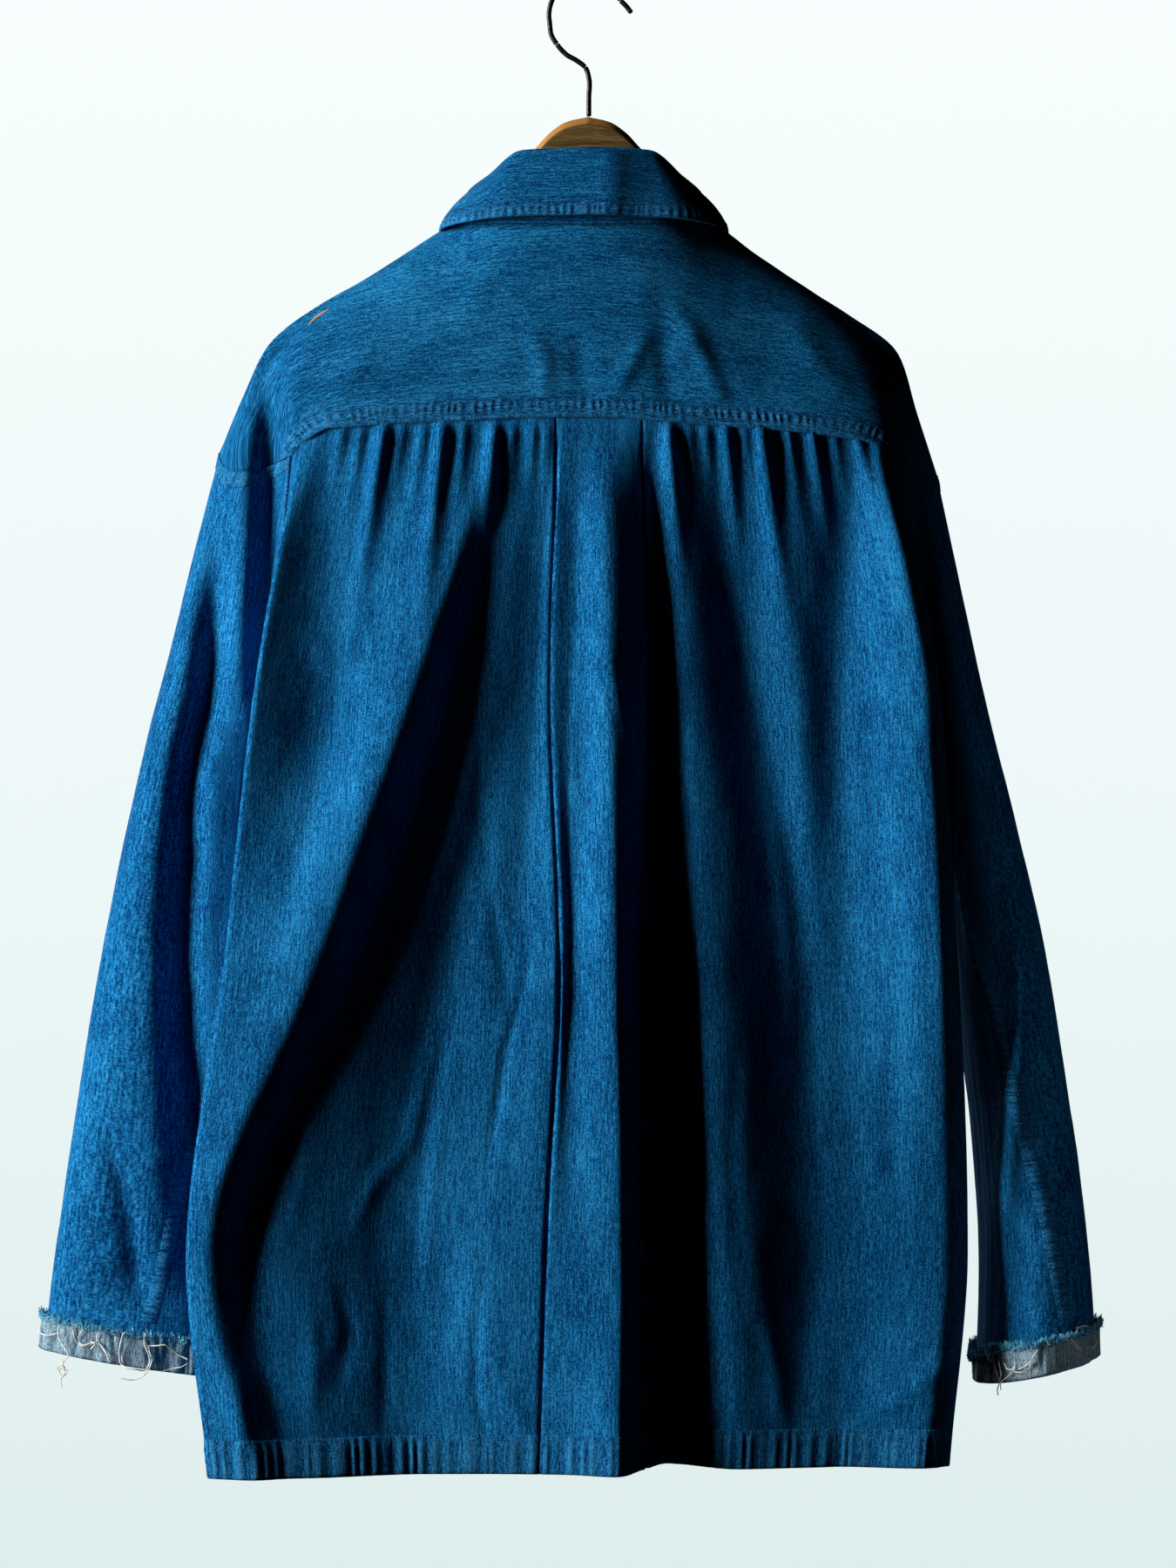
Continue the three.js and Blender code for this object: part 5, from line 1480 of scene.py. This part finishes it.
# Shares of the painted highlight on the outline points of the top chamfer, where light falls on the hanger's
# top
TOP_HIGHLIGHT = (0.9, 0.9, 0.95, 1.0, 0.85)
def arm_line(side):
    """Places across and heights of the top of one arm, out to its tip."""
    shoulder = [(x, z - 2.3) for x, _, z in SHOULDERS[side]["ridge"][:2:-1]]
    tip_x, _, tip_z = SHOULDERS[side]["ridge"][2]
    line = list(zip(CREST["x"], CREST["z"])) + shoulder + [(tip_x - 14, tip_z + 3.6), (tip_x - 9, tip_z - 3)]
    xs, zs = np.array(line, float).T
    at = level_steps([0, CREST_WIDTH, xs[-1]], [60, 60])
    return at, through(xs, zs, at)


def wood_section(top, height):
    """The outline at one place across: a chamfered top, flat sides and a round bottom."""
    half = WOOD_THICKNESS / 2
    outline = [(0, 0.1), (1.2, 0.0), (2.0, -0.25), (2.6, -0.8)]
    outline += [(half - 0.5, -4.2), (half, -4.9), (half, -6.0)]
    outline += [(half, -height * share) for share in (0.3, 0.45, 0.6, 0.75)]
    outline += [(half, 4 - height), (half - 1.2, 1.4 - height), (half - 3.4, 0.2 - height), (0, -height)]
    outline += [(-y, z) for y, z in outline[-2:0:-1]]
    return [(y, top + z) for y, z in outline]
def arm_rings(side):
    xs, tops = arm_line(side)
    heights = through(WOOD_HEIGHT["at"], WOOD_HEIGHT["height"], xs)
    return [
        [[side_sign(side) * x, y, z] for y, z in wood_section(top, height)]
        for x, top, height in zip(xs, tops, heights)
    ]


wood = np.array(arm_rings("left")[::-1] + arm_rings("right")[1:])[:, ::-1]
# Painted highlight along the top chamfer, stored in the same attribute as the denim's wear
painted_top_highlight = np.zeros(wood.shape[:2])
for step, shine in enumerate(TOP_HIGHLIGHT):
    painted_top_highlight[:, [-1 - step, step - 1]] = shine
wood_uv = np.concatenate([wood[:, -1:], wood], 1) * MM
wood_piece = cloth_piece("hanger_wood", wood, WOOD, (wood_uv[..., 0], wood_uv[..., 2]), around=True,
                         thickness=0, wear_and_highlight=painted_top_highlight)
finish_piece(wood_piece, "hanger_wood", "hanger_body")

# Hook: the middle of the wire, up from the wood, round its arc and down to its end
ARC = {"x": 1, "z": -21.2, "radius": 21.2 + WIRE_RADIUS}
HOOK_STEM = [(-0.5, -82.6), (-0.5, -72), (-0.5, -59), (1.5, -53),
             (7, -48.5), (13, -45), (18.5, -39.2), (22.3, -32.9)]
HOOK_END = [(-23, -15.2), (-26.5, -19.6)]
arc = []
for degrees in range(-12, 157, 14):
    turn = math.radians(degrees)
    arc.append((ARC["x"] + ARC["radius"] * math.cos(turn), ARC["z"] + ARC["radius"] * math.sin(turn)))
hook_line = smooth_line([[x, 0, z] for x, z in HOOK_STEM + arc + HOOK_END], 220)
hook_verts, hook_faces = tube(hook_line, WIRE_RADIUS * 0.98, 16, taper=0.55)
hook_piece = mesh_object("hook_wire", hook_verts, hook_faces, hook_verts[hook_faces][:, :, [0, 2]] * MM, WIRE)
finish_piece(hook_piece, "hook_wire", "hanger_hook")

# Camera: the photograph's angle
SENSOR = 36
DISTANCE = CAMERA_FAR * MM
camera_data = bpy.data.cameras.new("camera")
camera_data.sensor_fit = "AUTO"
camera_data.sensor_width = SENSOR
camera_data.lens = SENSOR * DISTANCE / (PHOTO_HEIGHT * PIXEL * MM)
camera = bpy.data.objects.new("camera", camera_data)
camera.location = (0, DISTANCE, CENTRE_Z * MM)
camera.rotation_euler = (math.pi / 2, 0, math.pi)
bpy.context.scene.collection.objects.link(camera)
bpy.context.scene.camera = camera

# Lights: place, target and size in metres, power in watts, spread in degrees
LIGHTS = {
    "window": {"place": (1.95, 0.68, 0.0), "target": (0, 0, -0.5), "size": (0.8, 1.6), "power": 23,
               "colour": (1.0, 0.99, 0.98), "spread": 80},
    "sleeve_soft": {"place": (-0.95, 1.2, -0.62), "target": (-0.31, 0.02, -0.62), "size": (0.12, 0.7),
                    "power": 0.03, "colour": (0.98, 0.99, 1.0), "spread": 6},
    "front_soft": {"place": (1.5, -2.6, 0.3), "target": (0, 0, -0.5), "size": (1.6, 1.6), "power": 5,
                   "colour": (1.0, 0.98, 0.96), "spread": 60},
}
for name, lamp in LIGHTS.items():
    data = bpy.data.lights.new(name, "AREA")
    data.shape = "RECTANGLE"
    data.size, data.size_y = lamp["size"]
    data.energy = lamp["power"]
    data.color = lamp["colour"]
    data.spread = math.radians(lamp["spread"])
    light = bpy.data.objects.new(name, data)
    light.location = lamp["place"]
    aim = Vector(lamp["target"]) - Vector(lamp["place"])
    light.rotation_euler = aim.to_track_quat("-Z", "Y").to_euler()
    bpy.context.scene.collection.objects.link(light)

# The studio: pale behind the shirt, and almost no light from it on the cloth
SEEN_STRENGTH = 0.99
FILL_STRENGTH = 0.002
SKY = [(0.0, (0.73, 0.85, 0.85)), (0.45, (0.85, 0.94, 0.94)), (1.0, (0.95, 1.0, 1.0))]
world = bpy.data.worlds.new("pale_studio")
world.use_nodes = True
bpy.context.scene.world = world
sky_tree = world.node_tree
background = sky_tree.nodes["Background"]
seen = sky_tree.nodes.new("ShaderNodeLightPath").outputs["Is Camera Ray"]
strength = math_node(sky_tree, "MULTIPLY_ADD", seen, SEEN_STRENGTH, FILL_STRENGTH)
link(sky_tree, strength, background.inputs["Strength"])
coordinates = sky_tree.nodes.new("ShaderNodeTexCoord")
split = sky_tree.nodes.new("ShaderNodeSeparateXYZ")
link(sky_tree, coordinates.outputs["Generated"], split.inputs[0])
shift = math_node(sky_tree, "MULTIPLY_ADD", split.outputs["Z"], 3.0, 0.5)
link(sky_tree, ramp_node(sky_tree, shift, SKY), background.inputs["Color"])

# The floor: a pale disc that glows a little for the camera and lights nothing
FLOOR_RADIUS = 2.0
FLOOR_Z = -1.95
FLOOR_SIDES = 96
floor_turns = [2 * math.pi * k / FLOOR_SIDES for k in range(FLOOR_SIDES)]
floor_ring = [(FLOOR_RADIUS * math.cos(turn), FLOOR_RADIUS * math.sin(turn), FLOOR_Z) for turn in floor_turns]
floor_mesh = bpy.data.meshes.new("floor")
floor_mesh.from_pydata(floor_ring, [], [list(range(FLOOR_SIDES))])
floor = bpy.data.objects.new("floor", floor_mesh)
bpy.context.scene.collection.objects.link(floor)
floor_material, floor_tree, floor_shader = new_material("pale_floor")
floor_noise = floor_tree.nodes.new("ShaderNodeTexNoise")
floor_noise.inputs["Scale"].default_value = 3
floor_stops = [(0.3, (0.78, 0.82, 0.82)), (0.7, (0.84, 0.88, 0.88))]
floor_colour = ramp_node(floor_tree, floor_noise.outputs[0], floor_stops)
link(floor_tree, floor_colour, floor_shader.inputs["Base Color"])
floor_shader.inputs["Roughness"].default_value = 0.7
floor_shader.inputs["Emission Color"].default_value = (0.72, 0.86, 0.86, 1)
floor_shader.inputs["Emission Strength"].default_value = 0.9
floor.visible_diffuse = False
floor.visible_glossy = False
floor_mesh.materials.append(floor_material)
floor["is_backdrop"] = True
bpy.context.scene.view_settings.view_transform = "Standard"

# Bounds of the dressed model, without the backdrop
low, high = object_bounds()
